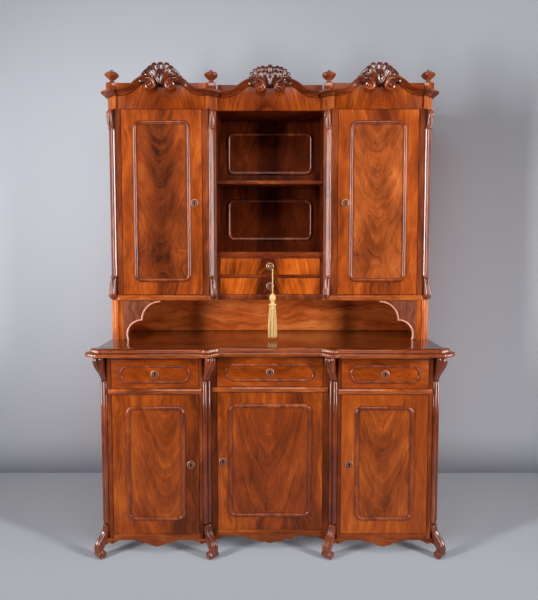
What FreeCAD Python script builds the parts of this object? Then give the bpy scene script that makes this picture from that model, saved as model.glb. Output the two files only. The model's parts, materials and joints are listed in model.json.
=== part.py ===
import FreeCAD, Part
import math
import os
import re

import Sketcher

# A two-part cupboard in polished mahogany. The base has three bays, the middle one set back, with a
# drawer over a door in each. The upper case stands on two scalloped supports, with a door each side of
# an open niche over two small drawers, and carries three arched cornices with crests and finials.
# Millimetres, +Z up, +X to the right, front towards -Y. The origin is on the floor, under the middle.

SIZES = {
    # Base: carcass
    "top_depth": 590,
    "front_overhang": 45,
    "back_overhang": 10,
    "side_overhang": 28,
    "top_lip": 36,
    "top_thickness": 35,
    "top_bead": 19,
    "top_inset": 18,
    "top_ease": 6,
    "ear_width": 96,
    "ear_round": 28,
    "ear_hollow": 12,
    "base_height": 952,
    "carcass_width": 1524,
    "centre_bay_width": 536,
    "bay_step": 35,
    "corner_cant": 45,
    "stile_width": 12,
    "centre_stile": 28,
    "front_thickness": 22,
    "side_thickness": 22,
    "partition_thickness": 20,
    "back_thickness": 15,
    "floor_thickness": 18,
    "shelf_thickness": 16,
    "shelf_setback": 60,
    "base_shelf_height": 330,
    "apron_top": 108,
    "apron_high": 78,
    "apron_drop": 50,
    "apron_lobe": 63,
    "apron_notch": 67,
    "apron_end": 62,
    "apron_end_width": 44,
    "side_lobe_offset": 62,
    "centre_lobe_offset": 95,
    "base_drawer_opening": 134,
    "rail_height": 23,
    "top_rail_height": 13,
    "rail_moulding_depth": 8,
    "runner_thickness": 20,
    "runner_bearing": 16,
    "rear_foot_depth": 60,
    "rear_foot_round": 40,
    "side_rise": 74,
    # Base: pilasters on the canted corners
    "post_bottom": 62,
    "pilaster_width": 42,
    "pilaster_strip": 4,
    "pilaster_bead": 24,
    "pilaster_relief": 12,
    "foot_height": 157,
    "foot_width": 46,
    "foot_reach": 57,
    "foot_neck": 10,
    "foot_collar": 12,
    "foot_collar_height": 13,
    "foot_block_depth": 28,
    "foot_hollow": 90,
    "foot_shin": 25,
    "foot_toe": 40,
    "foot_toe_height": 32,
    "foot_toe_round": 34,
    "foot_knee": 11,
    "foot_knee_height": 102,
    "foot_knee_round": 110,
    "console_height": 118,
    "console_reach": 45,
    "console_foot": 9,
    "console_sweep": 170,
    "console_curl": 18,
    # Upper case
    "upper_width": 1528,
    "upper_depth": 303,
    "support_height": 190,
    "niche_width": 516,
    "niche_step": 35,
    "upper_cant": 42,
    "upper_stile": 18,
    "inner_stile": 27,
    "case_floor_thickness": 26,
    "case_floor_lip": 7,
    "case_floor_chamfer": 6,
    "upper_door_opening": 877,
    "roof_thickness": 18,
    "upper_shelf_low": 290,
    "upper_shelf_high": 580,
    "bracket_foot": 20,
    "low_scallop_width": 67,
    "low_scallop_height": 95,
    "low_scallop_round": 71,
    "high_scallop_width": 90,
    "high_scallop_height": 89,
    "high_scallop_round": 92,
    "bracket_lip": 9,
    "niche_drawer_opening": 80.5,
    "niche_divider": 15,
    "niche_floor_thickness": 29,
    "niche_stile": 14,
    "niche_shelf_height": 328,
    "niche_shelf_setback": 20,
    "niche_panel_margin": 33,
    "niche_panel_space": 54,
    "upper_pilaster_width": 34,
    "upper_pilaster_bead": 25,
    "upper_pilaster_relief": 12,
    "upper_scroll_height": 90,
    "upper_scroll_reach": 24,
    "upper_scroll_foot": 8,
    "upper_scroll_sweep": 72,
    "upper_scroll_curl": 12,
    # Frieze, cornice and ornaments
    "frieze_height": 120,
    "frieze_thickness": 20,
    "block_height": 61,
    "block_proud": 8,
    "block_depth": 80,
    "cornice_height": 27,
    "cornice_reach": 28,
    "cornice_cove": 12,
    "cap_chamfer": 16,
    "arch_rise": 64,
    "arch_start": 10,
    "arch_crown": 58,
    "arch_hollow": 125,
    "crest_height": 143,
    "crest_low": 12,
    "crest_depth": 24,
    "crest_fan": 99,
    "crest_spread": 106,
    "crest_stem": 54,
    "crest_volute": 22,
    "pedestal_width": 44,
    "pedestal_height": 44,
    "finial_height": 55,
    "finial_radius": 32,
    "finial_neck": 8,
    "finial_base": 19,
    "finial_button": 6,
    # Doors
    "door_gap": 2.4,
    "door_thickness": 22,
    "panel_thickness": 12,
    "base_door_margin": 61,
    "centre_door_margin": 49,
    "upper_door_margin": 54,
    "door_top_margin": 50,
    "door_bottom_margin": 59,
    "moulding_width": 19,
    "moulding_height": 8,
    "moulding_chamfer": 5,
    "moulding_corner": 36,
    "pivot_inset": 14,
    "pivot_depth": 7,
    "pivot_radius": 3,
    "pivot_length": 10,
    "pivot_plate": 24,
    "pivot_plate_width": 12,
    "pivot_play": 0.3,
    "seat_play": 0.3,
    "lock_backset": 36,
    "centre_lock_backset": 24,
    "lock_width": 58,
    "lock_height": 80,
    "lock_depth": 14,
    "escutcheon_radius": 17.5,
    "escutcheon_thickness": 2,
    "keyhole_radius": 3.4,
    "keyhole_slot": 3.6,
    "keyhole_length": 11,
    # Drawers
    "drawer_gap": 2,
    "drawer_play": 1.5,
    "drawer_front": 20,
    "drawer_side": 12,
    "drawer_bottom": 7,
    "drawer_bottom_rise": 6,
    "drawer_headroom": 16,
    "base_drawer_space": 55,
    "niche_drawer_space": 18,
    "lozenge_margin": 36,
    "lozenge_height": 82,
    "lozenge_corner": 38,
    "drawer_lock_width": 56,
    "drawer_lock_drop": 16,
    "drawer_lock_depth": 13,
    # Key, bolt and tassel
    "bolt_width": 24,
    "bolt_thickness": 6,
    "bolt_height": 14,
    "bolt_travel": 8,
    "bolt_play": 0.3,
    "key_radius": 2.8,
    "key_length": 38,
    "key_collar": 5,
    "key_neck": 15,
    "key_bow": 14,
    "key_bow_wire": 2.4,
    "key_angle": 30,
    "key_bit": 7,
    "key_bit_width": 6,
    "cord_diameter": 6,
    "cord_length": 118,
    "tassel_head": 17,
    "tassel_length": 214,
    "tassel_skirt": 22,
}

# Lines of the base in plan, as distances from the middle and from the centre line of the depth
SIDE_FACE = "(front_overhang - top_depth / 2)"
CENTRE_FACE = f"({SIDE_FACE} + bay_step)"
BASE_BACK = "(top_depth / 2 - back_overhang)"
BACK_FACE = f"({BASE_BACK} - back_thickness)"
BASE_SIDE = "(carcass_width / 2)"
BASE_INSIDE = f"({BASE_SIDE} - side_thickness)"
BAY_RETURN = "(centre_bay_width / 2)"
BAY_CORNER = f"({BAY_RETURN} + bay_step)"
BAY_INSIDE = f"({BAY_RETURN} + partition_thickness)"
OUTER_OPENING = f"({BASE_SIDE} - corner_cant - stile_width)"
INNER_OPENING = f"({BAY_CORNER} + stile_width)"
CENTRE_OPENING = f"({BAY_RETURN} - centre_stile)"
OUTER_POST_BACK = f"({SIDE_FACE} + corner_cant)"
INNER_POST_BACK = f"({CENTRE_FACE} + front_thickness)"

# Levels of the base
CARCASS_TOP = "(base_height - top_thickness)"
DRAWER_TOP = f"({CARCASS_TOP} - top_rail_height)"
RAIL_TOP = f"({DRAWER_TOP} - base_drawer_opening)"
RAIL_BOTTOM = f"({RAIL_TOP} - rail_height)"

# Lines of the upper case in plan
UPPER_FACE = f"({BASE_BACK} - upper_depth)"
NICHE_FACE = f"({UPPER_FACE} + niche_step)"
UPPER_SIDE = "(upper_width / 2)"
UPPER_INSIDE = f"({UPPER_SIDE} - side_thickness)"
NICHE_SIDE = "(niche_width / 2)"
NICHE_OUTSIDE = f"({NICHE_SIDE} + partition_thickness)"
UPPER_BEND = f"({UPPER_SIDE} - upper_cant)"
UPPER_CORNER = f"({NICHE_SIDE} + niche_step)"
UPPER_OUTER = f"({UPPER_BEND} - upper_stile)"
UPPER_INNER = f"({UPPER_CORNER} + inner_stile)"
UPPER_POST_BACK = f"({UPPER_FACE} + upper_cant)"
NICHE_POST_BACK = f"({NICHE_FACE} + front_thickness)"
NICHE_OPENING = f"({NICHE_SIDE} - niche_stile)"

# Levels of the upper case
CASE_BOTTOM = "(base_height + support_height)"
CASE_FLOOR = f"({CASE_BOTTOM} + case_floor_thickness)"
CASE_TOP = f"({CASE_FLOOR} + upper_door_opening)"
DIVIDER_BOTTOM = f"({CASE_FLOOR} + niche_drawer_opening)"
DIVIDER_TOP = f"({DIVIDER_BOTTOM} + niche_divider)"
NICHE_RAIL = f"({DIVIDER_TOP} + niche_drawer_opening)"
NICHE_FLOOR = f"({NICHE_RAIL} + niche_floor_thickness)"
NICHE_SHELF = f"({NICHE_FLOOR} + niche_shelf_height)"
CORNICE_BOTTOM = f"({CASE_TOP} + block_height)"
CORNICE_TOP = f"({CORNICE_BOTTOM} + cornice_height)"
FRIEZE_TOP = f"({CASE_TOP} + frieze_height)"
ARCH_TOP = f"({CORNICE_TOP} + arch_rise)"

# A line set off by a distance meets the canted corner this much further along
MITRE = "(sqrt(2) - 1)"

# Flats in each round corner of the panel mouldings, and round other small pieces that repeat
CORNER_FLATS = 4
FINIAL_SIDES = 8
TASSEL_SIDES = 12
VOLUTE_SIDES = 12
PLATE_SIDES = 20
BOW_SIDES = 24

doc = FreeCAD.newDocument("two_part_cupboard")
sheet = doc.addObject("Spreadsheet::Sheet", "Sheet")
for row, (word, number) in enumerate(SIZES.items(), 1):
    sheet.set(f"A{row}", word.replace("_", " "))
    sheet.set(f"B{row}", str(number))
    sheet.setAlias(f"B{row}", word)
doc.recompute()

nodes = []
Vector = FreeCAD.Vector


def formula(text):
    """The text as an expression, with each size read from its cell."""
    return re.sub("[a-z_]+", lambda word: f"Sheet.{word[0]}" if word[0] in SIZES else word[0], text)


def size(text):
    """The value of a formula at the sheet's present sizes."""
    return float(sheet.evalExpression(formula(text)))


def bind(piece, **formulas):
    """Bind properties of a piece to formulas of the sheet."""
    for name, text in formulas.items():
        piece.setExpression(name, formula(text))


def place(piece, at):
    """Bind the piece's place to three formulas."""
    for axis, text in zip("xyz", at):
        piece.setExpression("Placement.Base." + axis, formula(text))


def board(name, x, y, z):
    """A square-cut board between two formulas along each axis."""
    piece = doc.addObject("Part::Box", name)
    lengths = [f"({high}) - ({low})" for low, high in (x, y, z)]
    bind(piece, Length=lengths[0], Width=lengths[1], Height=lengths[2])
    place(piece, (x[0], y[0], z[0]))
    return piece


def cylinder(name, at, radius, length, along_depth=False):
    """A round bar that stands up, or one that runs from its place towards the back."""
    piece = doc.addObject("Part::Cylinder", name)
    if along_depth:
        piece.Placement.Rotation = FreeCAD.Rotation(Vector(1, 0, 0), -90)
    bind(piece, Radius=radius, Height=length)
    place(piece, at)
    return piece


def cut(name, base, *tools):
    """The base less the tools."""
    for number, tool in enumerate(tools, 1):
        piece = doc.addObject("Part::Cut", f"{name}_cut_{number}")
        piece.Base = base
        piece.Tool = tool
        base = piece
    return base


def fuse(name, *members):
    """Members joined into one solid."""
    piece = doc.addObject("Part::MultiFuse", name)
    piece.Shapes = list(members)
    piece.Refine = True
    return piece


def mirror(piece):
    """The piece on the other side of the middle plane."""
    copy = doc.addObject("Part::Mirroring", piece.Name + "_right")
    copy.Source = piece
    copy.Normal = (1, 0, 0)
    return copy


def twin(*pieces):
    """The pieces with their mirror images."""
    return list(pieces) + [mirror(piece) for piece in pieces]


def shaped(name, shape):
    """A piece with a shape worked out here from the sheet's sizes."""
    piece = doc.addObject("Part::Feature", name)
    piece.Shape = shape
    return piece


def node(name, *members):
    """A named sub-part of one or more solids."""
    piece = doc.addObject("Part::Compound", name)
    piece.Label = name
    piece.Links = list(members)
    nodes.append(piece)


def node_pair(name, *members):
    """A sub-part on the left and its mirror image on the right."""
    node("left_" + name, *members)
    node("right_" + name, *[mirror(member) for member in members])


def new_body(name, at, turn=0):
    """An empty body at a place, turned about the vertical."""
    body = doc.addObject("PartDesign::Body", name)
    body.Placement.Rotation = FreeCAD.Rotation(Vector(0, 0, 1), turn)
    place(body, at)
    return body


def arc_centre(start, end, radius):
    """Centre of the shorter arc: it turns left for a positive radius and right for a negative one."""
    chord = end - start
    left = Vector(-chord.y, chord.x, 0).normalize()
    away = math.sqrt(max(radius ** 2 - (chord.Length / 2) ** 2, 0))
    return (start + end) * 0.5 + left * math.copysign(away, radius)


def add_loop(sketch, corners):
    """Draw a closed loop of lines and arcs and bind each corner and radius to its formula."""
    points = [Vector(size(corner[0]), size(corner[1]), 0) for corner in corners]
    starts = []
    ends = []
    for corner, start, end in zip(corners, points, points[1:] + points[:1]):
        if len(corner) == 2:
            edge = sketch.addGeometry(Part.LineSegment(start, end))
            starts.append((edge, 1))
            ends.append((edge, 2))
            continue
        radius = size(corner[2])
        centre = arc_centre(start, end, radius)
        low, high = (start, end) if radius > 0 else (end, start)
        angles = [math.atan2(point.y - centre.y, point.x - centre.x) for point in (low, high)]
        circle = Part.Circle(centre, Vector(0, 0, 1), abs(radius))
        edge = sketch.addGeometry(Part.ArcOfCircle(circle, *angles))
        starts.append((edge, 1 if radius > 0 else 2))
        ends.append((edge, 2 if radius > 0 else 1))
        number = sketch.addConstraint(Sketcher.Constraint("Radius", edge, abs(radius)))
        sketch.setExpression(f"Constraints[{number}]", formula(f"abs({corner[2]})"))
    for index, corner in enumerate(corners):
        following = starts[(index + 1) % len(corners)]
        sketch.addConstraint(Sketcher.Constraint("Coincident", *ends[index], *following))
        for kind, text in zip(("DistanceX", "DistanceY"), corner):
            constraint = Sketcher.Constraint(kind, -1, 1, *starts[index], size(text))
            number = sketch.addConstraint(constraint)
            sketch.setExpression(f"Constraints[{number}]", formula(text))


def new_sketch(body, plane, *loops):
    """A sketch on one of the body's own planes, with one or more closed loops."""
    sketch = body.newObject("Sketcher::SketchObject", body.Name + "_outline")
    support = [feature for feature in body.Origin.OriginFeatures if feature.Role == plane]
    sketch.AttachmentSupport = [(support[0], "")]
    sketch.MapMode = "FlatFace"
    for loop in loops:
        add_loop(sketch, loop)
    return sketch


def pad(name, plane, loops, length, at, turn=0, symmetric=False):
    """A body padded from an outline: up from XY, forwards from XZ, to the right from YZ."""
    body = new_body(name, at, turn)
    feature = body.newObject("PartDesign::Pad", name + "_pad")
    feature.Profile = new_sketch(body, plane, *loops)
    feature.SideType = "Symmetric" if symmetric else "One side"
    bind(feature, Length=length)
    doc.recompute()
    return body


def dress(body, kind, edges, amount):
    """Round or chamfer the edges of the body's last feature that the test picks."""
    base = body.Tip
    names = [f"Edge{number}" for number, edge in enumerate(base.Shape.Edges, 1) if edges(edge)]
    feature = body.newObject("PartDesign::" + kind, f"{body.Name}_{kind.lower()}")
    feature.Base = (base, names)
    bind(feature, **{"Radius" if kind == "Fillet" else "Size": amount})
    doc.recompute()
    return body


def level_edges(axis, text):
    """A test for edges that lie wholly at one value along an axis."""
    value = size(text)
    return lambda edge: all(abs(getattr(v.Point, axis) - value) < 1e-4 for v in edge.Vertexes)


def even_sided(radius, sides):
    """An even-sided loop about the origin, with a flat on each axis."""
    angles = [360 * (number + 0.5) / sides for number in range(sides)]
    return [(f"{radius} * cos({angle})", f"{radius} * sin({angle})") for angle in angles]


def rounded(width, height, radius):
    """A rectangle about the origin, as a loop, with each corner turned in a few even flats."""
    corners = []
    for number, (side, end) in enumerate(((1, 1), (-1, 1), (-1, -1), (1, -1))):
        for step in range(CORNER_FLATS + 1):
            angle = 90 * (number + step / CORNER_FLATS)
            across = f"{side} * (({width}) / 2 - ({radius})) + ({radius}) * cos({angle})"
            along = f"{end} * (({height}) / 2 - ({radius})) + ({radius}) * sin({angle})"
            corners.append((across, along))
    return corners


def frame_moulding(name, width, height, corner, at):
    """A raised band round a panel, with round corners and both front edges sloping."""
    inner = rounded(f"{width} - 2 * moulding_width", f"{height} - 2 * moulding_width",
                    f"{corner} - moulding_width")
    body = pad(name, "XZ_Plane", [rounded(width, height, corner), inner], "moulding_height", at)
    return dress(body, "Chamfer", level_edges("y", "-moulding_height"), "moulding_chamfer")


def middle(low, high):
    """Formula for the middle of two."""
    return f"(({low}) + ({high})) / 2"


# Top of the base
def ear(corner_x, corner_y, facing):
    """Rounded lobe of the top over a canted corner, from the corner it would have if it were square."""
    half = size("ear_width / 2")
    turn = size("ear_round")
    reach = size("(front_overhang - ear_round) * sqrt(2) - ear_width / 2 + 2 * ear_round")
    root = -size("corner_cant * 2")
    low = turn * (1 - math.sqrt(0.5))
    right = [Vector(half, root, 0), Vector(half, reach - turn, 0), Vector(half - turn, reach, 0)]
    left = [Vector(turn - half, reach, 0), Vector(-half, reach - turn, 0), Vector(-half, root, 0)]
    edges = [
        Part.LineSegment(right[0], right[1]),
        Part.Arc(right[1], Vector(half - low, reach - low, 0), right[2]),
        Part.LineSegment(right[2], left[0]),
        Part.Arc(left[0], Vector(low - half, reach - low, 0), left[1]),
        Part.LineSegment(left[1], left[2]),
        Part.LineSegment(left[2], right[0]),
    ]
    face = Part.Face(Part.Wire([edge.toShape() for edge in edges]))
    turned = FreeCAD.Rotation(Vector(0, 0, 1), facing)
    face.Placement = FreeCAD.Placement(Vector(corner_x, corner_y, 0), turned)
    return face


def top_plan(inset):
    """Plan of the top, drawn in by an inset at the front and sides."""
    side = size(f"{BASE_SIDE} + side_overhang")
    front = size(f"{SIDE_FACE} - top_lip")
    centre = size(f"{CENTRE_FACE} - top_lip")
    back = size("top_depth / 2")
    beyond = back + 2 * size("top_inset")
    corner = size(BAY_RETURN)
    face = size(SIDE_FACE)
    span = size("ear_width / sqrt(2)") - size("ear_round") / 4
    parts = []
    for sign in (-1, 1):
        outline = [(corner, front), (size(f"{BASE_SIDE} + top_lip") - span, front),
                   (side, face + span - size("side_overhang")), (side, beyond), (corner, beyond)]
        points = [Vector(sign * x, y, 0) for x, y in outline]
        wing = Part.Face(Part.makePolygon(points + points[:1]))
        parts.append(wing if sign > 0 else wing.reversed())
        parts.append(ear(sign * size(BASE_SIDE), face, 180 + sign * 45))
        parts.append(ear(sign * corner, face, 180 - sign * 45))
    plan = Part.makePlane(2 * corner, beyond - centre, Vector(-corner, centre, 0)).fuse(parts)
    plan = Part.Face(plan.removeSplitter().Faces[0].OuterWire)
    hollow = size("ear_hollow")
    plan = plan.makeOffset2D(hollow).makeOffset2D(-hollow - inset)
    limit = Part.makePlane(4 * side, 4 * back, Vector(-2 * side, -3 * back, 0))
    return plan.common(limit).Faces[0]


def ease_front(solid, level, width):
    """Slope off the edges of a slab at one level, apart from its back edge."""
    back = size("top_depth / 2")
    edges = []
    for edge in solid.Edges:
        points = [vertex.Point for vertex in edge.Vertexes]
        flat = all(abs(point.z - level) < 1e-4 for point in points)
        if flat and not all(abs(point.y - back) < 1e-4 for point in points):
            edges.append(edge)
    return solid.makeChamfer(width, edges)


def top_board():
    """The top: a bead with eased edges below and a thinner, drawn-in slab above it."""
    bead = size("top_bead")
    rest = size("top_thickness - top_bead")
    ease = size("top_ease")
    lower = top_plan(0).extrude(Vector(0, 0, bead))
    lower = ease_front(lower, bead, ease)
    upper = top_plan(size("top_inset")).extrude(Vector(0, 0, rest))
    upper = ease_front(upper, rest, ease)
    upper.translate(Vector(0, 0, bead))
    board_shape = lower.fuse(upper).removeSplitter()
    board_shape.translate(Vector(0, 0, size(CARCASS_TOP)))
    return shaped("top_slab", board_shape)


node("base_top_board", top_board())


# Carcass of the base
side_panel = pad("side_panel", "YZ_Plane", [[
    (OUTER_POST_BACK, "side_rise"),
    (f"{BASE_BACK} - rear_foot_depth - rear_foot_round", "side_rise", "-rear_foot_round"),
    (f"{BASE_BACK} - rear_foot_depth", "side_rise - rear_foot_round"),
    (f"{BASE_BACK} - rear_foot_depth", "0"),
    (BASE_BACK, "0"),
    (BASE_BACK, CARCASS_TOP),
    (OUTER_POST_BACK, CARCASS_TOP),
]], "side_thickness", (f"-{BASE_SIDE}", "0", "0"))
node("base_side_panels", *twin(side_panel))

partition = board("partition", (f"-{BAY_INSIDE}", f"-{BAY_RETURN}"), (INNER_POST_BACK, BACK_FACE),
                  ("apron_top", CARCASS_TOP))
node("base_partitions", *twin(partition))

APRON_BACK = f"({SIDE_FACE} + front_thickness)"
CENTRE_APRON_BACK = f"({CENTRE_FACE} + front_thickness)"
floor_half = [
    (f"-{BASE_INSIDE}", BACK_FACE),
    (f"-{BASE_INSIDE}", OUTER_POST_BACK),
    (f"-{OUTER_OPENING}", OUTER_POST_BACK),
    (f"-{OUTER_OPENING}", APRON_BACK),
    (f"-{INNER_OPENING}", APRON_BACK),
    (f"-{INNER_OPENING}", INNER_POST_BACK),
]
floor_other = [(f"-({x})", y) for x, y in reversed(floor_half)]
node("base_floor_board", pad("floor_board", "XY_Plane", [floor_half + floor_other], "floor_thickness",
                             ("0", "0", "apron_top - floor_thickness")))

node("base_back_panel", board("back_panel", (f"-{BASE_INSIDE}", BASE_INSIDE), (BACK_FACE, BASE_BACK),
                              ("apron_top - floor_thickness", CARCASS_TOP)))

POST_HEIGHT = f"{CARCASS_TOP} - post_bottom"
outer_post = pad("outer_post", "XY_Plane", [[
    (f"-{BASE_SIDE}", OUTER_POST_BACK),
    (f"corner_cant - {BASE_SIDE}", SIDE_FACE),
    (f"-{OUTER_OPENING}", SIDE_FACE),
    (f"-{OUTER_OPENING}", OUTER_POST_BACK),
]], POST_HEIGHT, ("0", "0", "post_bottom"))
inner_post = pad("inner_post", "XY_Plane", [[
    (f"-{INNER_OPENING}", SIDE_FACE),
    (f"-{BAY_CORNER}", SIDE_FACE),
    (f"-{BAY_RETURN}", CENTRE_FACE),
    (f"-{BAY_RETURN}", INNER_POST_BACK),
    (f"-{INNER_OPENING}", INNER_POST_BACK),
]], POST_HEIGHT, ("0", "0", "post_bottom"))
centre_stile = board("centre_stile", (f"-{BAY_RETURN}", f"-{CENTRE_OPENING}"),
                     (CENTRE_FACE, INNER_POST_BACK), ("apron_end", CARCASS_TOP))
node("base_corner_posts", *twin(outer_post, inner_post, centre_stile))

SIDE_BAY = (f"-{OUTER_OPENING}", f"-{INNER_OPENING}")
CENTRE_BAY = (f"-{CENTRE_OPENING}", CENTRE_OPENING)
UPPER_BAY = (f"-{UPPER_OUTER}", f"-{UPPER_INNER}")


def pivot_socket(name, x, face, z):
    """Square socket that a door's pivot pin turns in, from its lower end."""
    half = "(pivot_radius + pivot_play)"
    depth = f"{face} + pivot_depth"
    return board(name, (f"{x} - {half}", f"{x} + {half}"), (f"{depth} - {half}", f"{depth} + {half}"),
                 (z, f"{z} + pivot_length + pivot_play"))


def hinge_line(opening_edge, inwards):
    """Across place of a door's pivots, from the edge of its opening."""
    return f"({opening_edge} + {inwards} * (door_gap + pivot_inset))"


SIDE_HINGE = hinge_line(f"-{OUTER_OPENING}", 1)
CENTRE_HINGE = hinge_line(CENTRE_OPENING, -1)
UPPER_HINGE = hinge_line(f"-{UPPER_OUTER}", 1)


def drawer_rail(name, bay, face, hinge):
    """Rail under a drawer, with a socket for the pivot of the door below it."""
    rail = board(name, bay, (face, f"{face} + front_thickness"), (RAIL_BOTTOM, RAIL_TOP))
    return cut(name, rail, pivot_socket(name + "_socket", hinge, face, RAIL_BOTTOM))


def rail_moulding(name, x, face):
    """Rounded strip along the face of a rail and over the ends of its posts."""
    strip = pad(name, "YZ_Plane", [[
        ("0", "0"),
        ("0", "rail_height"),
        ("-rail_moulding_depth / 2", "rail_height"),
        ("-rail_moulding_depth", "rail_height * 0.7"),
        ("-rail_moulding_depth", "rail_height * 0.3"),
        ("-rail_moulding_depth / 2", "0"),
    ]], f"({x[1]}) - ({x[0]})", (x[0], face, RAIL_BOTTOM))
    return strip


def top_rail(name, bay, face):
    """Rail over a drawer, under the top."""
    return board(name, bay, (face, f"{face} + front_thickness"), (DRAWER_TOP, CARCASS_TOP))


side_rails = [
    drawer_rail("side_rail", SIDE_BAY, SIDE_FACE, SIDE_HINGE),
    rail_moulding("side_rail_moulding", (f"corner_cant - {BASE_SIDE}", f"-{BAY_CORNER}"), SIDE_FACE),
    top_rail("side_top_rail", SIDE_BAY, SIDE_FACE),
]
centre_rails = [
    drawer_rail("centre_rail", CENTRE_BAY, CENTRE_FACE, CENTRE_HINGE),
    rail_moulding("centre_rail_moulding", (f"rail_moulding_depth - {BAY_RETURN}",
                                           f"{BAY_RETURN} - rail_moulding_depth"), CENTRE_FACE),
    top_rail("centre_top_rail", CENTRE_BAY, CENTRE_FACE),
]
node("base_front_rails", *twin(*side_rails), *centre_rails)

RUNNER_LEVELS = (f"{RAIL_TOP} - runner_thickness", RAIL_TOP)
runners = [
    board("outer_runner", (f"-{BASE_INSIDE}", f"runner_bearing - {OUTER_OPENING}"),
          (OUTER_POST_BACK, BACK_FACE), RUNNER_LEVELS),
    board("inner_runner", (f"-{INNER_OPENING} - runner_bearing", f"-{BAY_INSIDE}"),
          (INNER_POST_BACK, BACK_FACE), RUNNER_LEVELS),
    board("centre_runner", (f"-{BAY_RETURN}", f"runner_bearing - {CENTRE_OPENING}"),
          (INNER_POST_BACK, BACK_FACE), RUNNER_LEVELS),
]
node("drawer_runners", *twin(*runners))


def apron(name, bay, face, lobe, hinge):
    """Board under a door with a lobed lower edge and a socket for the door's lower pivot."""
    half = f"(({bay[1]}) - ({bay[0]})) / 2"
    left = [
        (f"-{half}", "apron_top"),
        (f"-{half}", "apron_end", "-apron_end_width * 1.3"),
        (f"apron_end_width - {half}", "apron_high"),
        (f"-{lobe} * 1.75", "apron_high", "-apron_drop * 1.8"),
        (f"-{lobe}", "apron_lobe"),
        (f"-{lobe} * 0.8", "apron_notch", "apron_drop * 1.2"),
        (f"-{lobe} * 0.25", "apron_drop + 2", f"{lobe} * 0.5"),
    ]
    right = [
        (f"{lobe} * 0.25", "apron_drop + 2", "apron_drop * 1.2"),
        (f"{lobe} * 0.8", "apron_notch"),
        (f"{lobe}", "apron_lobe", "-apron_drop * 1.8"),
        (f"{lobe} * 1.75", "apron_high"),
        (f"{half} - apron_end_width", "apron_high", "-apron_end_width * 1.3"),
        (f"{half}", "apron_end"),
        (f"{half}", "apron_top"),
    ]
    body = pad(name, "XZ_Plane", [left + right], "front_thickness",
               (middle(*bay), f"{face} + front_thickness", "0"))
    return cut(name, body, pivot_socket(name + "_socket", hinge, face, "apron_top - pivot_length"))


side_apron = apron("side_apron", SIDE_BAY, SIDE_FACE, "side_lobe_offset", SIDE_HINGE)
centre_apron = apron("centre_apron", CENTRE_BAY, CENTRE_FACE, "centre_lobe_offset", CENTRE_HINGE)
node("base_aprons", *twin(side_apron), centre_apron)


# Pilasters of the base, each modelled facing the front and turned on to its canted corner
def strip_plan(width, thickness, bead, relief):
    """Plan of a pilaster's shaft: a flat strip with a half-round bead along it."""
    return [
        (f"-{width} / 2", "0"),
        (f"-{width} / 2", f"-{thickness}"),
        (f"-{bead} / 2", f"-{thickness}", f"{relief} * 1.04"),
        ("0", f"-{relief}", f"{relief} * 1.04"),
        (f"{bead} / 2", f"-{thickness}"),
        (f"{width} / 2", f"-{thickness}"),
        (f"{width} / 2", "0"),
    ]


def scroll(height, reach, foot, sweep, curl):
    """Side outline of a scrolled console that hangs from its curl, widest near the top."""
    return [
        ("0", "0"),
        ("0", height),
        (f"{curl} / 2 - {reach}", height, f"{curl}"),
        (f"-{reach}", f"{height} - {curl}", f"{curl}"),
        (f"{curl} / 2 - {reach}", f"{height} - 2 * {curl}", f"-{sweep}"),
        (f"-{foot}", "0"),
    ]


def scroll_foot():
    """Side outline of a foot: a collar, a knee, a shin with a hollow behind it and a toe that curls under."""
    return [
        ("0", "foot_height"),
        ("0", "post_bottom"),
        ("foot_block_depth", "post_bottom", "-foot_hollow"),
        ("foot_shin - foot_reach", "foot_toe_height"),
        ("foot_toe - foot_reach", "foot_toe_height * 0.7"),
        ("foot_toe - foot_reach", "foot_toe_height * 0.3"),
        ("foot_toe * 0.8 - foot_reach", "0"),
        ("foot_toe * 0.4 - foot_reach", "0", "-foot_toe_round"),
        ("-foot_reach", "foot_toe_height", "-foot_knee_round"),
        ("foot_knee - foot_reach", "foot_knee_height"),
        ("-foot_neck", "foot_height - foot_collar_height"),
        ("-foot_collar", "foot_height - foot_collar_height * 0.7"),
        ("-foot_collar", "foot_height - foot_collar_height * 0.3"),
        ("-foot_neck", "foot_height"),
    ]


def base_pilaster(name, at, turn):
    """Foot, shaft and scrolled console of one canted corner."""
    foot = pad(name + "_foot", "YZ_Plane", [scroll_foot()], "foot_width", (*at, "0"), turn, True)
    console_bottom = f"{CARCASS_TOP} - console_height"
    plan = strip_plan("pilaster_width", "pilaster_strip", "pilaster_bead", "pilaster_relief")
    shaft = pad(name + "_shaft", "XY_Plane", [plan], f"{console_bottom} - foot_height",
                (*at, "foot_height"), turn)
    outline = scroll("console_height", "console_reach", "console_foot", "console_sweep", "console_curl")
    console = pad(name + "_console", "YZ_Plane", [outline], "pilaster_width",
                  (*at, console_bottom), turn, True)
    return [foot, shaft, console]


OUTER_CANT = (f"corner_cant / 2 - {BASE_SIDE}", f"{SIDE_FACE} + corner_cant / 2")
INNER_CANT = (f"-{BAY_RETURN} - bay_step / 2", f"{SIDE_FACE} + bay_step / 2")
node("base_pilasters", *twin(*base_pilaster("outer", OUTER_CANT, -45),
                             *base_pilaster("inner", INNER_CANT, 45)))

SHELF_LEVELS = ("apron_top + base_shelf_height", "apron_top + base_shelf_height + shelf_thickness")
side_shelf = board("side_shelf", (f"-{BASE_INSIDE}", f"-{BAY_INSIDE}"),
                   (f"{SIDE_FACE} + shelf_setback", BACK_FACE), SHELF_LEVELS)
centre_shelf = board("centre_shelf", (f"-{BAY_RETURN}", BAY_RETURN),
                     (f"{CENTRE_FACE} + shelf_setback", BACK_FACE), SHELF_LEVELS)
node("base_shelves", *twin(side_shelf), centre_shelf)


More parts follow.
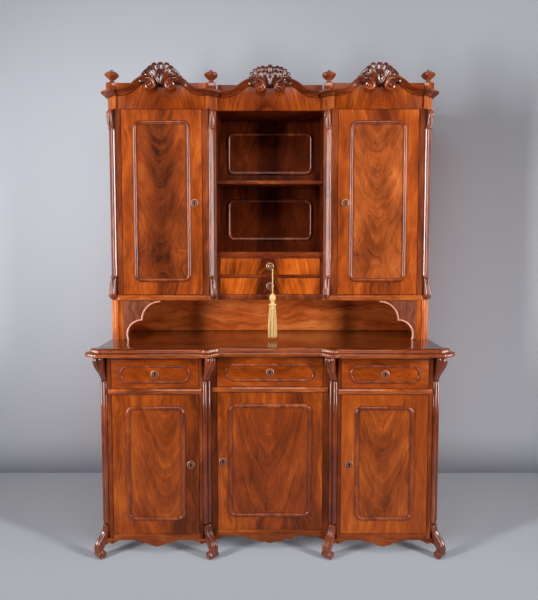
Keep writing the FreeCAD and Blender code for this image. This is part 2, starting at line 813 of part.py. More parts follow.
# Supports of the upper case
SUPPORT_LEVELS = ("base_height", CASE_BOTTOM)
support_side = board("support_side", (f"-{UPPER_SIDE}", f"-{UPPER_INSIDE}"), (UPPER_POST_BACK, BASE_BACK),
                     SUPPORT_LEVELS)


def outer_plan(proud, inner_edge, back):
    """Plan over an outer canted corner of the upper case, standing proud of it on its open sides."""
    return [
        (f"-{UPPER_SIDE} - {proud}", back),
        (f"-{UPPER_SIDE} - {proud}", f"{UPPER_POST_BACK} - {proud} * {MITRE}"),
        (f"-{UPPER_BEND} - {proud} * {MITRE}", f"{UPPER_FACE} - {proud}"),
        (f"-{inner_edge}", f"{UPPER_FACE} - {proud}"),
        (f"-{inner_edge}", back),
    ]


def inner_plan(proud, outer_edge, back):
    """Plan over an inner canted corner of the upper case, standing proud of it on its open sides."""
    return [
        (f"-{outer_edge}", f"{UPPER_FACE} - {proud}"),
        (f"-{UPPER_CORNER} + {proud} * {MITRE}", f"{UPPER_FACE} - {proud}"),
        (f"-{NICHE_SIDE} + {proud}", f"{NICHE_FACE} - {proud} * {MITRE}"),
        (f"-{NICHE_SIDE} + {proud}", back),
        (f"-{outer_edge}", back),
    ]


def trapezium(plan):
    """An outer plan whose back lies at the end of the cant, without its doubled corner."""
    return plan[1:]


post_plan = trapezium(outer_plan("0", UPPER_OUTER, UPPER_POST_BACK))
support_post = pad("support_post", "XY_Plane", [post_plan], "support_height", ("0", "0", "base_height"))
CUSP = f"(bracket_foot + low_scallop_width - {UPPER_OUTER})"
bracket = pad("bracket", "XZ_Plane", [[
    (f"-{UPPER_OUTER}", "0"),
    (f"bracket_foot - {UPPER_OUTER}", "0", "-low_scallop_round"),
    (CUSP, "low_scallop_height", "-high_scallop_round"),
    (f"{CUSP} + high_scallop_width", "low_scallop_height + high_scallop_height"),
    (f"{CUSP} + high_scallop_width + bracket_lip", "low_scallop_height + high_scallop_height"),
    (f"{CUSP} + high_scallop_width + bracket_lip", "support_height"),
    (f"-{UPPER_OUTER}", "support_height"),
]], "frieze_thickness", ("0", f"{UPPER_FACE} + frieze_thickness", "base_height"))
UPPER_OUTER_CANT = (f"-{UPPER_SIDE} + upper_cant / 2", f"{UPPER_FACE} + upper_cant / 2")
UPPER_INNER_CANT = (f"-{NICHE_SIDE} - niche_step / 2", f"{UPPER_FACE} + niche_step / 2")
UPPER_STRIP = strip_plan("upper_pilaster_width", "pilaster_strip", "upper_pilaster_bead",
                         "upper_pilaster_relief")
support_bead = pad("support_bead", "XY_Plane", [UPPER_STRIP], "support_height",
                   (*UPPER_OUTER_CANT, "base_height"), -45)
node("upper_supports", *twin(support_side, support_post, support_bead))
node("support_brackets", *twin(bracket))


# Upper case
def case_floor():
    """Floor of the upper case with a moulded edge all along its stepped front."""
    lip = "case_floor_lip"
    left = [
        (f"-{UPPER_SIDE} - {lip}", BACK_FACE),
        (f"-{UPPER_SIDE} - {lip}", f"{UPPER_POST_BACK} - {lip} * {MITRE}"),
        (f"-{UPPER_BEND} - {lip} * {MITRE}", f"{UPPER_FACE} - {lip}"),
        (f"-{UPPER_CORNER} + {lip} * {MITRE}", f"{UPPER_FACE} - {lip}"),
        (f"-{NICHE_SIDE} + {lip} * {MITRE}", f"{NICHE_FACE} - {lip}"),
    ]
    right = [(f"-({x})", y) for x, y in reversed(left)]
    body = pad("case_floor", "XY_Plane", [left + right], "case_floor_thickness", ("0", "0", CASE_BOTTOM))
    behind = level_edges("y", BACK_FACE)
    above = level_edges("z", "case_floor_thickness")
    dress(body, "Chamfer", lambda edge: above(edge) and not behind(edge), "case_floor_chamfer")
    sockets = [
        pivot_socket("left_floor_socket", UPPER_HINGE, UPPER_FACE, f"{CASE_FLOOR} - pivot_length"),
        pivot_socket("right_floor_socket", f"-{UPPER_HINGE}", UPPER_FACE, f"{CASE_FLOOR} - pivot_length"),
    ]
    return cut("case_floor", body, *sockets)


node("upper_floor_board", case_floor())

CASE_LEVELS = (CASE_FLOOR, CASE_TOP)
upper_side = board("upper_side", (f"-{UPPER_SIDE}", f"-{UPPER_INSIDE}"), (UPPER_POST_BACK, BACK_FACE),
                   CASE_LEVELS)
node("upper_side_panels", *twin(upper_side))
upper_partition = board("upper_partition", (f"-{NICHE_OUTSIDE}", f"-{NICHE_SIDE}"),
                        (NICHE_POST_BACK, BACK_FACE), CASE_LEVELS)
node("upper_partitions", *twin(upper_partition))

CASE_HEIGHT = "upper_door_opening"
case_outer_post = pad("case_outer_post", "XY_Plane", [post_plan], CASE_HEIGHT, ("0", "0", CASE_FLOOR))
case_inner_post = pad("case_inner_post", "XY_Plane", [inner_plan("0", UPPER_INNER, NICHE_POST_BACK)],
                      CASE_HEIGHT, ("0", "0", CASE_FLOOR))
node("upper_corner_posts", *twin(case_outer_post, case_inner_post))

node("upper_back_panel", board("upper_back", (f"-{UPPER_INSIDE}", UPPER_INSIDE), (BACK_FACE, BASE_BACK),
                               ("base_height", CASE_TOP)))

NICHE_PANEL_WIDTH = f"(niche_width - 2 * niche_panel_margin)"
low_panel = (f"{NICHE_FLOOR} + niche_panel_space", f"{NICHE_SHELF} - niche_panel_space")
high_panel = (f"{NICHE_SHELF} + shelf_thickness + niche_panel_space", f"{CASE_TOP} - niche_panel_space")
niche_frames = [
    frame_moulding(name, NICHE_PANEL_WIDTH, f"({levels[1]} - ({levels[0]}))", "moulding_corner",
                   ("0", BACK_FACE, middle(*levels)))
    for name, levels in (("low_niche_frame", low_panel), ("high_niche_frame", high_panel))
]
node("niche_mouldings", *niche_frames)

niche_depth = (NICHE_FACE, BACK_FACE)
niche_span = (f"-{NICHE_SIDE}", NICHE_SIDE)
LOCK_FACE = f"({NICHE_FACE} + drawer_front)"
BOLT_BACK = f"({LOCK_FACE} + (drawer_lock_depth - bolt_thickness) / 2)"
mortise = board("bolt_mortise", ("-bolt_width / 2 - bolt_play", "bolt_width / 2 + bolt_play"),
                (f"{BOLT_BACK} - bolt_play", f"{BOLT_BACK} + bolt_thickness + bolt_play"),
                (NICHE_RAIL, f"{NICHE_RAIL} + bolt_travel + 2"))
niche_floor_board = board("niche_floor_board", niche_span, niche_depth, (NICHE_RAIL, NICHE_FLOOR))
niche_floor = cut("niche_floor", niche_floor_board, mortise)
drawer_divider = board("drawer_divider", niche_span, niche_depth, (DIVIDER_BOTTOM, DIVIDER_TOP))
niche_stiles = [
    board(name, (f"-{NICHE_SIDE}", f"-{NICHE_OPENING}"), (NICHE_FACE, NICHE_POST_BACK), levels)
    for name, levels in (("low_niche_stile", (CASE_FLOOR, DIVIDER_BOTTOM)),
                         ("high_niche_stile", (DIVIDER_TOP, NICHE_RAIL)))
]
node("niche_drawer_case", niche_floor, drawer_divider, *twin(*niche_stiles))

shelf_levels = [(f"{CASE_FLOOR} + {rise}", f"{CASE_FLOOR} + {rise} + shelf_thickness")
                for rise in ("upper_shelf_low", "upper_shelf_high")]
upper_shelves = [
    board(name, (f"-{UPPER_INSIDE}", f"-{NICHE_OUTSIDE}"),
          (f"{UPPER_FACE} + shelf_setback", BACK_FACE), levels)
    for name, levels in zip(("low_shelf", "high_shelf"), shelf_levels)
]
niche_shelf = board("niche_shelf", niche_span, (f"{NICHE_FACE} + niche_shelf_setback", BACK_FACE),
                    (NICHE_SHELF, f"{NICHE_SHELF} + shelf_thickness"))
node("upper_shelves", *twin(*upper_shelves), niche_shelf)


def upper_pilaster(name, at, turn):
    """Shaft of a canted corner between a scroll at its top and one turned over at its foot."""
    bottom = f"{CASE_FLOOR} + upper_scroll_height"
    top = f"{CASE_TOP} - upper_scroll_height"
    outline = scroll("upper_scroll_height", "upper_scroll_reach", "upper_scroll_foot", "upper_scroll_sweep",
                     "upper_scroll_curl")
    shaft = pad(name + "_shaft", "XY_Plane", [UPPER_STRIP], f"{top} - ({bottom})", (*at, bottom), turn)
    upper = pad(name + "_scroll", "YZ_Plane", [outline], "upper_pilaster_width", (*at, top), turn, True)
    turned = [(corner[0], f"upper_scroll_height - ({corner[1]})", *[f"-({c})" for c in corner[2:]])
              for corner in outline]
    lower = pad(name + "_drop", "YZ_Plane", [turned], "upper_pilaster_width", (*at, CASE_FLOOR), turn, True)
    return [shaft, upper, lower]


node("upper_pilasters", *twin(*upper_pilaster("upper_outer", UPPER_OUTER_CANT, -45),
                              *upper_pilaster("upper_inner", UPPER_INNER_CANT, 45)))

# Frieze, cornice and ornaments
BLOCK_BACK = f"({UPPER_FACE} + block_depth)"
BLOCK_OUTER = f"({UPPER_CORNER} + block_proud)"
BLOCK_INNER = f"({NICHE_SIDE} - block_proud)"
CAP_INNER = f"({NICHE_SIDE} - cornice_reach)"
SIDE_FRIEZE = (f"-{UPPER_BEND}", f"-{BLOCK_OUTER}")
CENTRE_FRIEZE = (f"-{BLOCK_INNER}", BLOCK_INNER)
CENTRE_ARCH = (f"-{CAP_INNER}", CAP_INNER)
CROWN_ROUND = "(((arch_rise ^ 2 + {run} ^ 2) / (2 * arch_rise)) - arch_hollow)"

roof_half = [
    (f"-{UPPER_INSIDE}", BASE_BACK),
    (f"-{UPPER_INSIDE}", BLOCK_BACK),
    (f"-{UPPER_BEND}", BLOCK_BACK),
    (f"-{UPPER_BEND}", f"{UPPER_FACE} + frieze_thickness"),
    (f"-{BLOCK_OUTER}", f"{UPPER_FACE} + frieze_thickness"),
    (f"-{BLOCK_OUTER}", BLOCK_BACK),
    (f"-{BLOCK_INNER}", BLOCK_BACK),
    (f"-{BLOCK_INNER}", f"{NICHE_FACE} + frieze_thickness"),
]
roof_other = [(f"-({x})", y) for x, y in reversed(roof_half)]
node("upper_roof_board", pad("roof_board", "XY_Plane", [roof_half + roof_other], "roof_thickness",
                             ("0", "0", CASE_TOP)))


def arch_run(span):
    """Length of an arch's rising part, from its level start to its crown."""
    return f"((({span[1]}) - ({span[0]})) / 2 - arch_start - arch_crown)"


def frieze(name, span, arch, face, sockets):
    """Board behind a cornice, level at its ends and humped behind the crown of the arch."""
    half = f"((({span[1]}) - ({span[0]})) / 2)"
    crown = f"({CROWN_ROUND.format(run=arch_run(arch))} + cornice_height)"
    hump = f"({ARCH_TOP} - {FRIEZE_TOP})"
    shoulder = f"(arch_crown + sqrt({crown} ^ 2 - ({crown} - {hump}) ^ 2))"
    body = pad(name, "XZ_Plane", [[
        (f"-{half}", "0"),
        (half, "0"),
        (half, "frieze_height"),
        (shoulder, "frieze_height", crown),
        ("arch_crown", f"frieze_height + {hump}"),
        ("-arch_crown", f"frieze_height + {hump}", crown),
        (f"-{shoulder}", "frieze_height"),
        (f"-{half}", "frieze_height"),
    ]], "frieze_thickness", (middle(*span), f"{face} + frieze_thickness", CASE_TOP))
    return cut(name, body, *sockets)


side_frieze = frieze("side_frieze", SIDE_FRIEZE, SIDE_FRIEZE, UPPER_FACE,
                     [pivot_socket("frieze_socket", UPPER_HINGE, UPPER_FACE, CASE_TOP)])
centre_frieze = frieze("centre_frieze", CENTRE_FRIEZE, CENTRE_ARCH, NICHE_FACE, [])
node("pediment_friezes", *twin(side_frieze), centre_frieze)


def cornice_section(start):
    """Section of the cornice at its level start: a cove, a step and a thick upper edge."""
    reach = size("cornice_reach")
    height = size("cornice_height")
    cove = size("cornice_cove")
    points = [(0, 0), (cove / 3, 0), (reach * 0.6, cove), (reach, cove * 1.3), (reach, height * 0.85),
              (reach * 0.9, height), (0, height)]
    return Part.makePolygon([start + Vector(0, -out, up) for out, up in points + points[:1]])


def half_arch(span, face):
    """Left half of an arched cornice: level, hollow and then crowned, ending beside the crest."""
    run = size(arch_run(span))
    rise = size("arch_rise")
    hollow = size("arch_hollow")
    crown = size(CROWN_ROUND.format(run=arch_run(span)))
    turn = 2 * math.atan2(rise, run)
    start = Vector(size(span[0]), size(face), size(CORNICE_BOTTOM))
    foot = start + Vector(size("arch_start"), 0, 0)

    def along_hollow(angle):
        return foot + Vector(hollow * math.sin(angle), 0, hollow * (1 - math.cos(angle)))

    def along_crown(angle):
        top = foot + Vector(run, 0, rise)
        return top - Vector(crown * math.sin(angle), 0, crown * (1 - math.cos(angle)))

    path = Part.Wire([
        Part.LineSegment(start, foot).toShape(),
        Part.Arc(foot, along_hollow(turn / 2), along_hollow(turn)).toShape(),
        Part.Arc(along_crown(turn), along_crown(turn / 2), along_crown(0)).toShape(),
    ])
    sweep = Part.BRepOffsetAPI.MakePipeShell(path)
    sweep.setBiNormalMode(Vector(0, 1, 0))
    sweep.add(Part.Wire(cornice_section(start).Edges))
    sweep.build()
    sweep.makeSolid()
    return sweep.shape()


def mirrored_about(shape, x):
    """The shape on the other side of an upright plane across the cupboard."""
    return shape.mirror(Vector(x, 0, 0), Vector(1, 0, 0))


side_middle = size(middle(*SIDE_FRIEZE))
side_half = half_arch(SIDE_FRIEZE, UPPER_FACE)
side_arch = [shaped("side_arch_outer", side_half),
             shaped("side_arch_inner", mirrored_about(side_half, side_middle))]
centre_half = shaped("centre_arch", half_arch(CENTRE_ARCH, NICHE_FACE))
node("arched_cornices", *twin(*side_arch), *twin(centre_half))


def capped_block(name, plan, cap_plan, flush_sides):
    """Block over a pilaster and the moulded cap that continues the cornice round it."""
    block = pad(name, "XY_Plane", [plan], "block_height", ("0", "0", CASE_TOP))
    cap = pad(name + "_cap", "XY_Plane", [cap_plan], "cornice_height", ("0", "0", CORNICE_BOTTOM))
    below = level_edges("z", "0")
    flush = [level_edges(axis, line) for axis, line in flush_sides + [("y", BLOCK_BACK)]]
    dress(cap, "Chamfer", lambda edge: below(edge) and not any(test(edge) for test in flush), "cap_chamfer")
    return [block, cap]


outer_block = capped_block("outer_block", outer_plan("block_proud", UPPER_BEND, BLOCK_BACK),
                           outer_plan("cornice_reach", UPPER_BEND, BLOCK_BACK), [("x", f"-{UPPER_BEND}")])
inner_cap = inner_plan("cornice_reach", BLOCK_OUTER, NICHE_FACE)[:-1]
inner_cap += [
    (f"-{BLOCK_INNER}", NICHE_FACE),
    (f"-{BLOCK_INNER}", BLOCK_BACK),
    (f"-{BLOCK_OUTER}", BLOCK_BACK),
]
flush_sides = [("x", f"-{BLOCK_OUTER}"), ("x", f"-{BLOCK_INNER}"), ("y", NICHE_FACE)]
inner_block = capped_block("inner_block", inner_plan("block_proud", BLOCK_OUTER, BLOCK_BACK), inner_cap,
                           flush_sides)
side_board = board("side_frieze_board", (f"-{UPPER_SIDE}", f"-{UPPER_INSIDE}"), (BLOCK_BACK, BASE_BACK),
                   (CASE_TOP, CORNICE_TOP))
side_return = pad("side_return", "XZ_Plane", [[
    ("0", "0"),
    ("0", "cornice_height"),
    ("-cornice_reach", "cornice_height"),
    ("-cornice_reach", "cap_chamfer"),
    ("cap_chamfer - cornice_reach", "0"),
]], f"{BASE_BACK} - {BLOCK_BACK}", (f"-{UPPER_SIDE}", BASE_BACK, CORNICE_BOTTOM))
node("cornice_blocks", *twin(*outer_block, *inner_block, side_board, side_return))


def flat(points):
    """A flat face with these corners."""
    return Part.Face(Part.makePolygon(points + points[:1]))


def facetted(name, sides, at, profile):
    """Solid of revolution in flats: the profile gives each ring's radius over the flats and its height."""
    rings = []
    for radius, height in profile:
        reach = radius / math.cos(math.pi / sides)
        angles = [(number + 0.5) * 2 * math.pi / sides for number in range(sides)]
        rings.append([at + Vector(reach * math.cos(a), reach * math.sin(a), height) for a in angles])
    faces = [flat(rings[0]), flat(rings[-1])]
    for low, high in zip(rings, rings[1:]):
        for number in range(sides):
            faces.append(flat([low[number - 1], low[number], high[number], high[number - 1]]))
    return shaped(name, Part.Solid(Part.Shell(faces)))


def crest(name, x, face):
    """Carved crest: a fan of leaf lobes over two volutes, standing against the frieze."""
    bottom = size(f"{CORNICE_BOTTOM} + crest_low")
    top = bottom + size("crest_height")
    fan = size("crest_fan")
    spread = size("crest_spread / crest_fan")
    depth = size("crest_depth")
    volute = size("crest_volute")
    stem = size("crest_stem")
    centre = Vector(size(x), size(face), top - fan)
    lobes = 7
    first = math.radians(22)
    step = (math.pi - 2 * first) / lobes

    def spoke(angle, radius):
        return centre + Vector(radius * spread * math.cos(angle), 0, radius * math.sin(angle))

    edges = []
    for number in range(lobes):
        angle = first + number * step
        tip = spoke(angle + step / 2, fan)
        edges.append(Part.LineSegment(spoke(angle, fan * 0.9), tip).toShape())
        edges.append(Part.LineSegment(tip, spoke(angle + step, fan * 0.9)).toShape())
    neck = size("arch_crown - seat_play")
    shoulder = size(f"{ARCH_TOP} + seat_play")
    stem_points = [
        Vector(centre.x - neck, centre.y, shoulder),
        Vector(centre.x - stem, centre.y, bottom + volute),
        Vector(centre.x + stem, centre.y, bottom + volute),
        Vector(centre.x + neck, centre.y, shoulder),
    ]
    corners = [spoke(math.pi - first, fan * 0.9), *stem_points, spoke(first, fan * 0.9)]
    for start, end in zip(corners, corners[1:]):
        edges.append(Part.LineSegment(start, end).toShape())
    leaf = Part.Face(Part.Wire(edges)).extrude(Vector(0, -depth, 0))
    turns = [(number + 0.5) * 2 * math.pi / VOLUTE_SIDES for number in range(VOLUTE_SIDES)]
    curls = []
    for sign in (-1, 1):
        eye = Vector(centre.x + sign * (stem - volute), centre.y, bottom + volute)
        rim = [eye + Vector(volute * math.cos(a), 0, volute * math.sin(a)) for a in turns]
        curls.append(flat(rim).extrude(Vector(0, -depth * 1.2, 0)))
    return shaped(name, leaf.fuse(curls).removeSplitter())


side_crest = crest("side_crest", middle(*SIDE_FRIEZE), UPPER_FACE)
node("crests", *twin(side_crest), crest("centre_crest", "0", NICHE_FACE))


def finial(name, x, y):
    """Pedestal with an eight-sided finial: a flared foot, a neck, a bowl, a lid and a button."""
    half = size("pedestal_width / 2")
    rise = size("pedestal_height")
    foot = Vector(size(x), size(y), size(CORNICE_TOP))
    pedestal = [(half, 0), (half, rise * 0.2), (half * 0.88, rise * 0.3), (half * 0.88, rise)]
    block = facetted(name + "_pedestal", FINIAL_SIDES, foot, pedestal)
    height = size("finial_height")
    bowl = size("finial_radius")
    neck = size("finial_neck")
    button = size("finial_button")
    profile = [
        (size("finial_base"), 0),
        (neck, height * 0.25),
        (neck, height * 0.32),
        (bowl, height * 0.64),
        (bowl * 0.66, height * 0.86),
        (button, height * 0.88),
        (button, height * 0.97),
        (button * 0.5, height),
    ]
    return [block, facetted(name, FINIAL_SIDES, foot + Vector(0, 0, rise), profile)]


finial_depth = f"({UPPER_FACE} + block_depth * 0.31)"
node("finials", *twin(*finial("outer_finial", f"-({UPPER_SIDE} - upper_cant / 2 + 4)", finial_depth),
                      *finial("inner_finial", f"-({NICHE_SIDE} + niche_step / 2 + 3)", finial_depth)))


# Metalwork
def keyhole():
    """Loop of a keyhole about the key's axis: eight flats with a slot below them."""
    neck = "keyhole_slot / 2"
    right = [(neck, "-keyhole_length"), (neck, "-keyhole_radius"), ("keyhole_radius", f"-{neck}"),
             ("keyhole_radius", neck), (neck, "keyhole_radius")]
    return right + [(f"-{x}", y) for x, y in reversed(right)]


def escutcheon(name, at):
    """Round plate with a keyhole, proud of the wood."""
    disc = even_sided("escutcheon_radius", PLATE_SIDES)
    return pad(name, "XZ_Plane", [disc, keyhole()], "escutcheon_thickness", at)


def pivot(name, x, face, levels, pin_bottom):
    """Hinge pivot on the end of a door: a plate on its edge with a pin that points away from the door."""
    axis = f"({face} + pivot_depth)"
    plate = board(name + "_plate", (f"{x} - pivot_plate / 2", f"{x} + pivot_plate / 2"),
                  (f"{axis} - pivot_plate_width / 2", f"{axis} + pivot_plate_width / 2"), levels)
    pin = cylinder(name + "_pin", (x, axis, pin_bottom), "pivot_radius", "pivot_length")
    return fuse(name, plate, pin)


# Doors
def door(prefix, bay, levels, face, hinge, hinge_on_left, margin, backset):
    """A framed door in its opening, as its frame, panel with moulding, and metalwork."""
    x = (f"({bay[0]} + door_gap)", f"({bay[1]} - door_gap)")
    z = (f"({levels[0]} + door_gap)", f"({levels[1]} - door_gap)")
    lap = "moulding_width / 2"
    panel_x = (f"({x[0]} + {margin} + {lap})", f"({x[1]} - {margin} - {lap})")
    panel_z = (f"({z[0]} + door_bottom_margin + {lap})", f"({z[1]} - door_top_margin - {lap})")
    depth = (face, f"{face} + door_thickness")
    frame = [
        board(prefix + "_left_stile", (x[0], panel_x[0]), depth, z),
        board(prefix + "_right_stile", (panel_x[1], x[1]), depth, z),
        board(prefix + "_bottom_rail", panel_x, depth, (z[0], panel_z[0])),
        board(prefix + "_top_rail", panel_x, depth, (panel_z[1], z[1])),
    ]
    panel = board(prefix + "_panel_board", panel_x, (face, f"{face} + panel_thickness"), panel_z)
    moulding = frame_moulding(prefix + "_moulding", f"({panel_x[1]} - {panel_x[0]} + moulding_width)",
                              f"({panel_z[1]} - {panel_z[0]} + moulding_width)", "moulding_corner",
                              (middle(*panel_x), face, middle(*panel_z)))
    height = middle(*z)
    edge, inwards = (x[1], -1) if hinge_on_left else (x[0], 1)
    lock_x = f"({edge} + {inwards} * {backset})"
    case = (f"({edge} + {inwards} * (lock_width + door_gap))", f"({edge} + {inwards} * door_gap)")
    lock = board(prefix + "_lock", case if hinge_on_left else case[::-1],
                 (depth[1], f"{depth[1]} + lock_depth"),
                 (f"{height} - lock_height / 2", f"{height} + lock_height / 2"))
    plate = escutcheon(prefix + "_escutcheon", (lock_x, face, height))
    foot = f"{levels[0]} + seat_play"
    head = f"{levels[1]} - seat_play"
    lower = pivot(prefix + "_lower_pivot", hinge, face, (foot, z[0]), f"{foot} - pivot_length")
    upper = pivot(prefix + "_upper_pivot", hinge, face, (z[1], head), head)
    return frame, [panel, moulding], [plate, lock, lower, upper]


BASE_DOOR = ("apron_top", RAIL_BOTTOM)
frame, panel, metal = door("base_door", SIDE_BAY, BASE_DOOR, SIDE_FACE, SIDE_HINGE, True, "base_door_margin",
                           "lock_backset")
node_pair("base_door_frame", *frame)
node_pair("base_door_panel", *panel)
node_pair("base_door_metalwork", *metal)
frame, panel, metal = door("upper_door", UPPER_BAY, CASE_LEVELS, UPPER_FACE, UPPER_HINGE, True,
                           "upper_door_margin", "lock_backset")
node_pair("upper_door_frame", *frame)
node_pair("upper_door_panel", *panel)
node_pair("upper_door_metalwork", *metal)
frame, panel, metal = door("centre_door", CENTRE_BAY, BASE_DOOR, CENTRE_FACE, CENTRE_HINGE, False,
                           "centre_door_margin", "centre_lock_backset")
node("centre_door_frame", *frame)
node("centre_door_panel", *panel)
node("centre_door_metalwork", *metal)


# Drawers
def drawer(prefix, bay, levels, face, space):
    """A drawer in its opening, with a space behind it: its front, its box, its plate and its lock."""
    front_x = (f"({bay[0]} + drawer_gap)", f"({bay[1]} - drawer_gap)")
    front_z = (f"({levels[0]} + drawer_gap)", f"({levels[1]} - drawer_gap)")
    front = board(prefix + "_front_board", front_x, (face, f"{face} + drawer_front"), front_z)
    x = (f"({front_x[0]} + drawer_play)", f"({front_x[1]} - drawer_play)")
    inside = (f"({x[0]} + drawer_side)", f"({x[1]} - drawer_side)")
    y = (f"({face} + drawer_front)", f"({BACK_FACE} - {space})")
    z = (f"({levels[0]} + seat_play)", f"({levels[1]} - drawer_headroom)")
    bottom = (f"{z[0]} + drawer_bottom_rise", f"({z[0]} + drawer_bottom_rise + drawer_bottom)")
    box = [
        board(prefix + "_left_side", (x[0], inside[0]), y, z),
        board(prefix + "_right_side", (inside[1], x[1]), y, z),
        board(prefix + "_back", inside, (f"{y[1]} - drawer_side", y[1]), (bottom[1], z[1])),
        board(prefix + "_bottom", inside, y, bottom),
    ]
    height = middle(*front_z)
    plate = escutcheon(prefix + "_escutcheon", (middle(*bay), face, height))
    lock_x = (f"{middle(*bay)} - drawer_lock_width / 2", f"{middle(*bay)} + drawer_lock_width / 2")
    lock = board(prefix + "_lock", lock_x, (y[0], f"{y[0]} + drawer_lock_depth"),
                 (f"{height} - drawer_lock_drop", front_z[1]))
    return front, box, plate, lock


def lozenge(prefix, bay, levels, face):
    """Moulding with round ends on the front of a drawer."""
    width = f"({bay[1]} - ({bay[0]}) - 2 * lozenge_margin - 2 * drawer_gap)"
    return frame_moulding(prefix + "_lozenge", width, "lozenge_height", "lozenge_corner",
                          (middle(*bay), face, middle(*levels)))


BASE_DRAWER = (RAIL_TOP, DRAWER_TOP)
front, box, plate, lock = drawer("side_drawer", SIDE_BAY, BASE_DRAWER, SIDE_FACE, "base_drawer_space")
node_pair("drawer_front", front, lozenge("side_drawer", SIDE_BAY, BASE_DRAWER, SIDE_FACE))
node_pair("drawer_box", *box)
node_pair("drawer_metalwork", plate, lock)
front, box, plate, lock = drawer("centre_drawer", CENTRE_BAY, BASE_DRAWER, CENTRE_FACE, "base_drawer_space")
node("centre_drawer_front", front, lozenge("centre_drawer", CENTRE_BAY, BASE_DRAWER, CENTRE_FACE))
node("centre_drawer_box", *box)
node("centre_drawer_metalwork", plate, lock)

NICHE_BAY = (f"-{NICHE_OPENING}", NICHE_OPENING)
LOW_DRAWER = (CASE_FLOOR, DIVIDER_BOTTOM)
HIGH_DRAWER = (DIVIDER_TOP, NICHE_RAIL)
front, box, plate, lock = drawer("low_drawer", NICHE_BAY, LOW_DRAWER, NICHE_FACE, "niche_drawer_space")
node("low_niche_drawer", front, *box)
node("low_niche_drawer_metalwork", plate, lock)

# The upper small drawer, whose lock holds the key and a bolt that rises into the board above
KEY_LEVEL = f"({middle(*HIGH_DRAWER)})"
LOCK_TOP = f"({HIGH_DRAWER[1]} - drawer_gap)"
front, box, plate, lock = drawer("high_drawer", NICHE_BAY, HIGH_DRAWER, NICHE_FACE, "niche_drawer_space")
front_bore = pad("front_keyhole", "XZ_Plane", [keyhole()], "drawer_front + 2",
                 ("0", f"{LOCK_FACE} + 1", KEY_LEVEL))
node("high_niche_drawer", cut("high_front", front, front_bore), *box)
bolt_channel = board("bolt_channel", ("-bolt_width / 2 - bolt_play", "bolt_width / 2 + bolt_play"),
                     (f"{BOLT_BACK} - bolt_play", f"{BOLT_BACK} + bolt_thickness + bolt_play"),
                     (f"{LOCK_TOP} - bolt_height - bolt_play", f"{LOCK_TOP} + 1"))
bit_chamber = cylinder("bit_chamber", ("0", f"{LOCK_FACE} + 3", KEY_LEVEL),
                       "sqrt(key_bit ^ 2 + key_radius ^ 2) + bolt_play", "drawer_lock_depth", True)
lock_bore = pad("lock_keyhole", "XZ_Plane", [keyhole()], "5", ("0", f"{LOCK_FACE} + 4", KEY_LEVEL))
node("high_niche_drawer_metalwork", plate, cut("high_lock", lock, bolt_channel, bit_chamber, lock_bore))
bolt = board("bolt", ("-bolt_width / 2", "bolt_width / 2"), (BOLT_BACK, f"{BOLT_BACK} + bolt_thickness"),
             (f"{LOCK_TOP} - bolt_height", LOCK_TOP))
node("lock_bolt", bolt)


COLLAR_FACE = f"({NICHE_FACE} - escutcheon_thickness - seat_play - key_collar)"
BOW_DEPTH = f"({COLLAR_FACE} - key_neck - key_bow)"


def key():
    """Key in the lock: shaft, collar, a ring bow in the plane of the shaft, and a bit."""
    axis = Vector(0, 1, 0)
    level = size(KEY_LEVEL)
    turned = FreeCAD.Rotation(axis, size("key_angle"))
    neck = Vector(0, size(f"{COLLAR_FACE} - key_neck"), level)
    collar = Vector(0, size(COLLAR_FACE), level)
    shaft = Part.makeCylinder(size("key_radius"), size("key_neck + key_length"), neck, axis)
    ring = Part.makeCylinder(size("key_radius * 1.7"), size("key_collar"), collar, axis)
    wire = size("key_bow_wire")
    angles = [number * 2 * math.pi / BOW_SIDES for number in range(BOW_SIDES)]
    rims = []
    for radius in (size("key_bow + key_bow_wire"), size("key_bow - key_bow_wire")):
        rims.append(flat([Vector(radius * math.cos(a), radius * math.sin(a), -wire) for a in angles]))
    bow = rims[0].cut(rims[1]).extrude(Vector(0, 0, 2 * wire))
    bow.Placement = FreeCAD.Placement(Vector(0, size(BOW_DEPTH), level), turned)
    width = size("key_bit_width")
    bit = Part.makeBox(size("key_bit"), width, size("key_radius"))
    bit.Placement = FreeCAD.Placement(collar + axis * (size("key_length") - width), turned)
    return shaped("key_shape", shaft.fuse([ring, bow, bit]))


def hang_point():
    """Point just under the lowest edge of the bow, where the cord hangs."""
    angle = math.radians(size("key_angle"))
    wire = size("key_bow_wire")
    bow = size("key_bow")
    drop = (bow + wire) * math.sin(angle) + wire * math.cos(angle) + size("seat_play")
    return Vector(bow * math.cos(angle), size(BOW_DEPTH), size(KEY_LEVEL) - drop)


def key_cord():
    """Cord from the bow straight down to the tassel that it carries."""
    length = size("cord_length")
    end = hang_point() - Vector(0, 0, length)
    return shaped("cord_shape", Part.makeCylinder(size("cord_diameter / 2"), length, end))


def tassel():
    """Ball head, collar and flaring skirt of the tassel, turned about the cord's line."""
    head = size("tassel_head")
    length = size("tassel_length")
    skirt = size("tassel_skirt")
    top = hang_point() - Vector(0, 0, size("cord_length"))
    profile = [
        (skirt, -length),
        (head, -head * 4),
        (head * 0.7, -head * 3),
        (head * 0.7, -head * 2.6),
        (head * 0.95, -head * 1.9),
        (head, -head * 1.2),
        (head * 0.8, -head * 0.4),
        (head * 0.3, 0),
    ]
    return facetted("tassel_shape", TASSEL_SIDES, top, profile)


node("key", key())
node("key_cord", key_cord())
node("key_tassel", tassel())

doc.recompute()
faults = [item.Name for item in doc.Objects if "Invalid" in item.State or "Error" in item.State]
for piece in nodes:
    if piece.Shape.isNull() or not piece.Shape.isValid():
        faults.append(piece.Label)
if faults:
    raise RuntimeError("faulty pieces: " + ", ".join(faults))

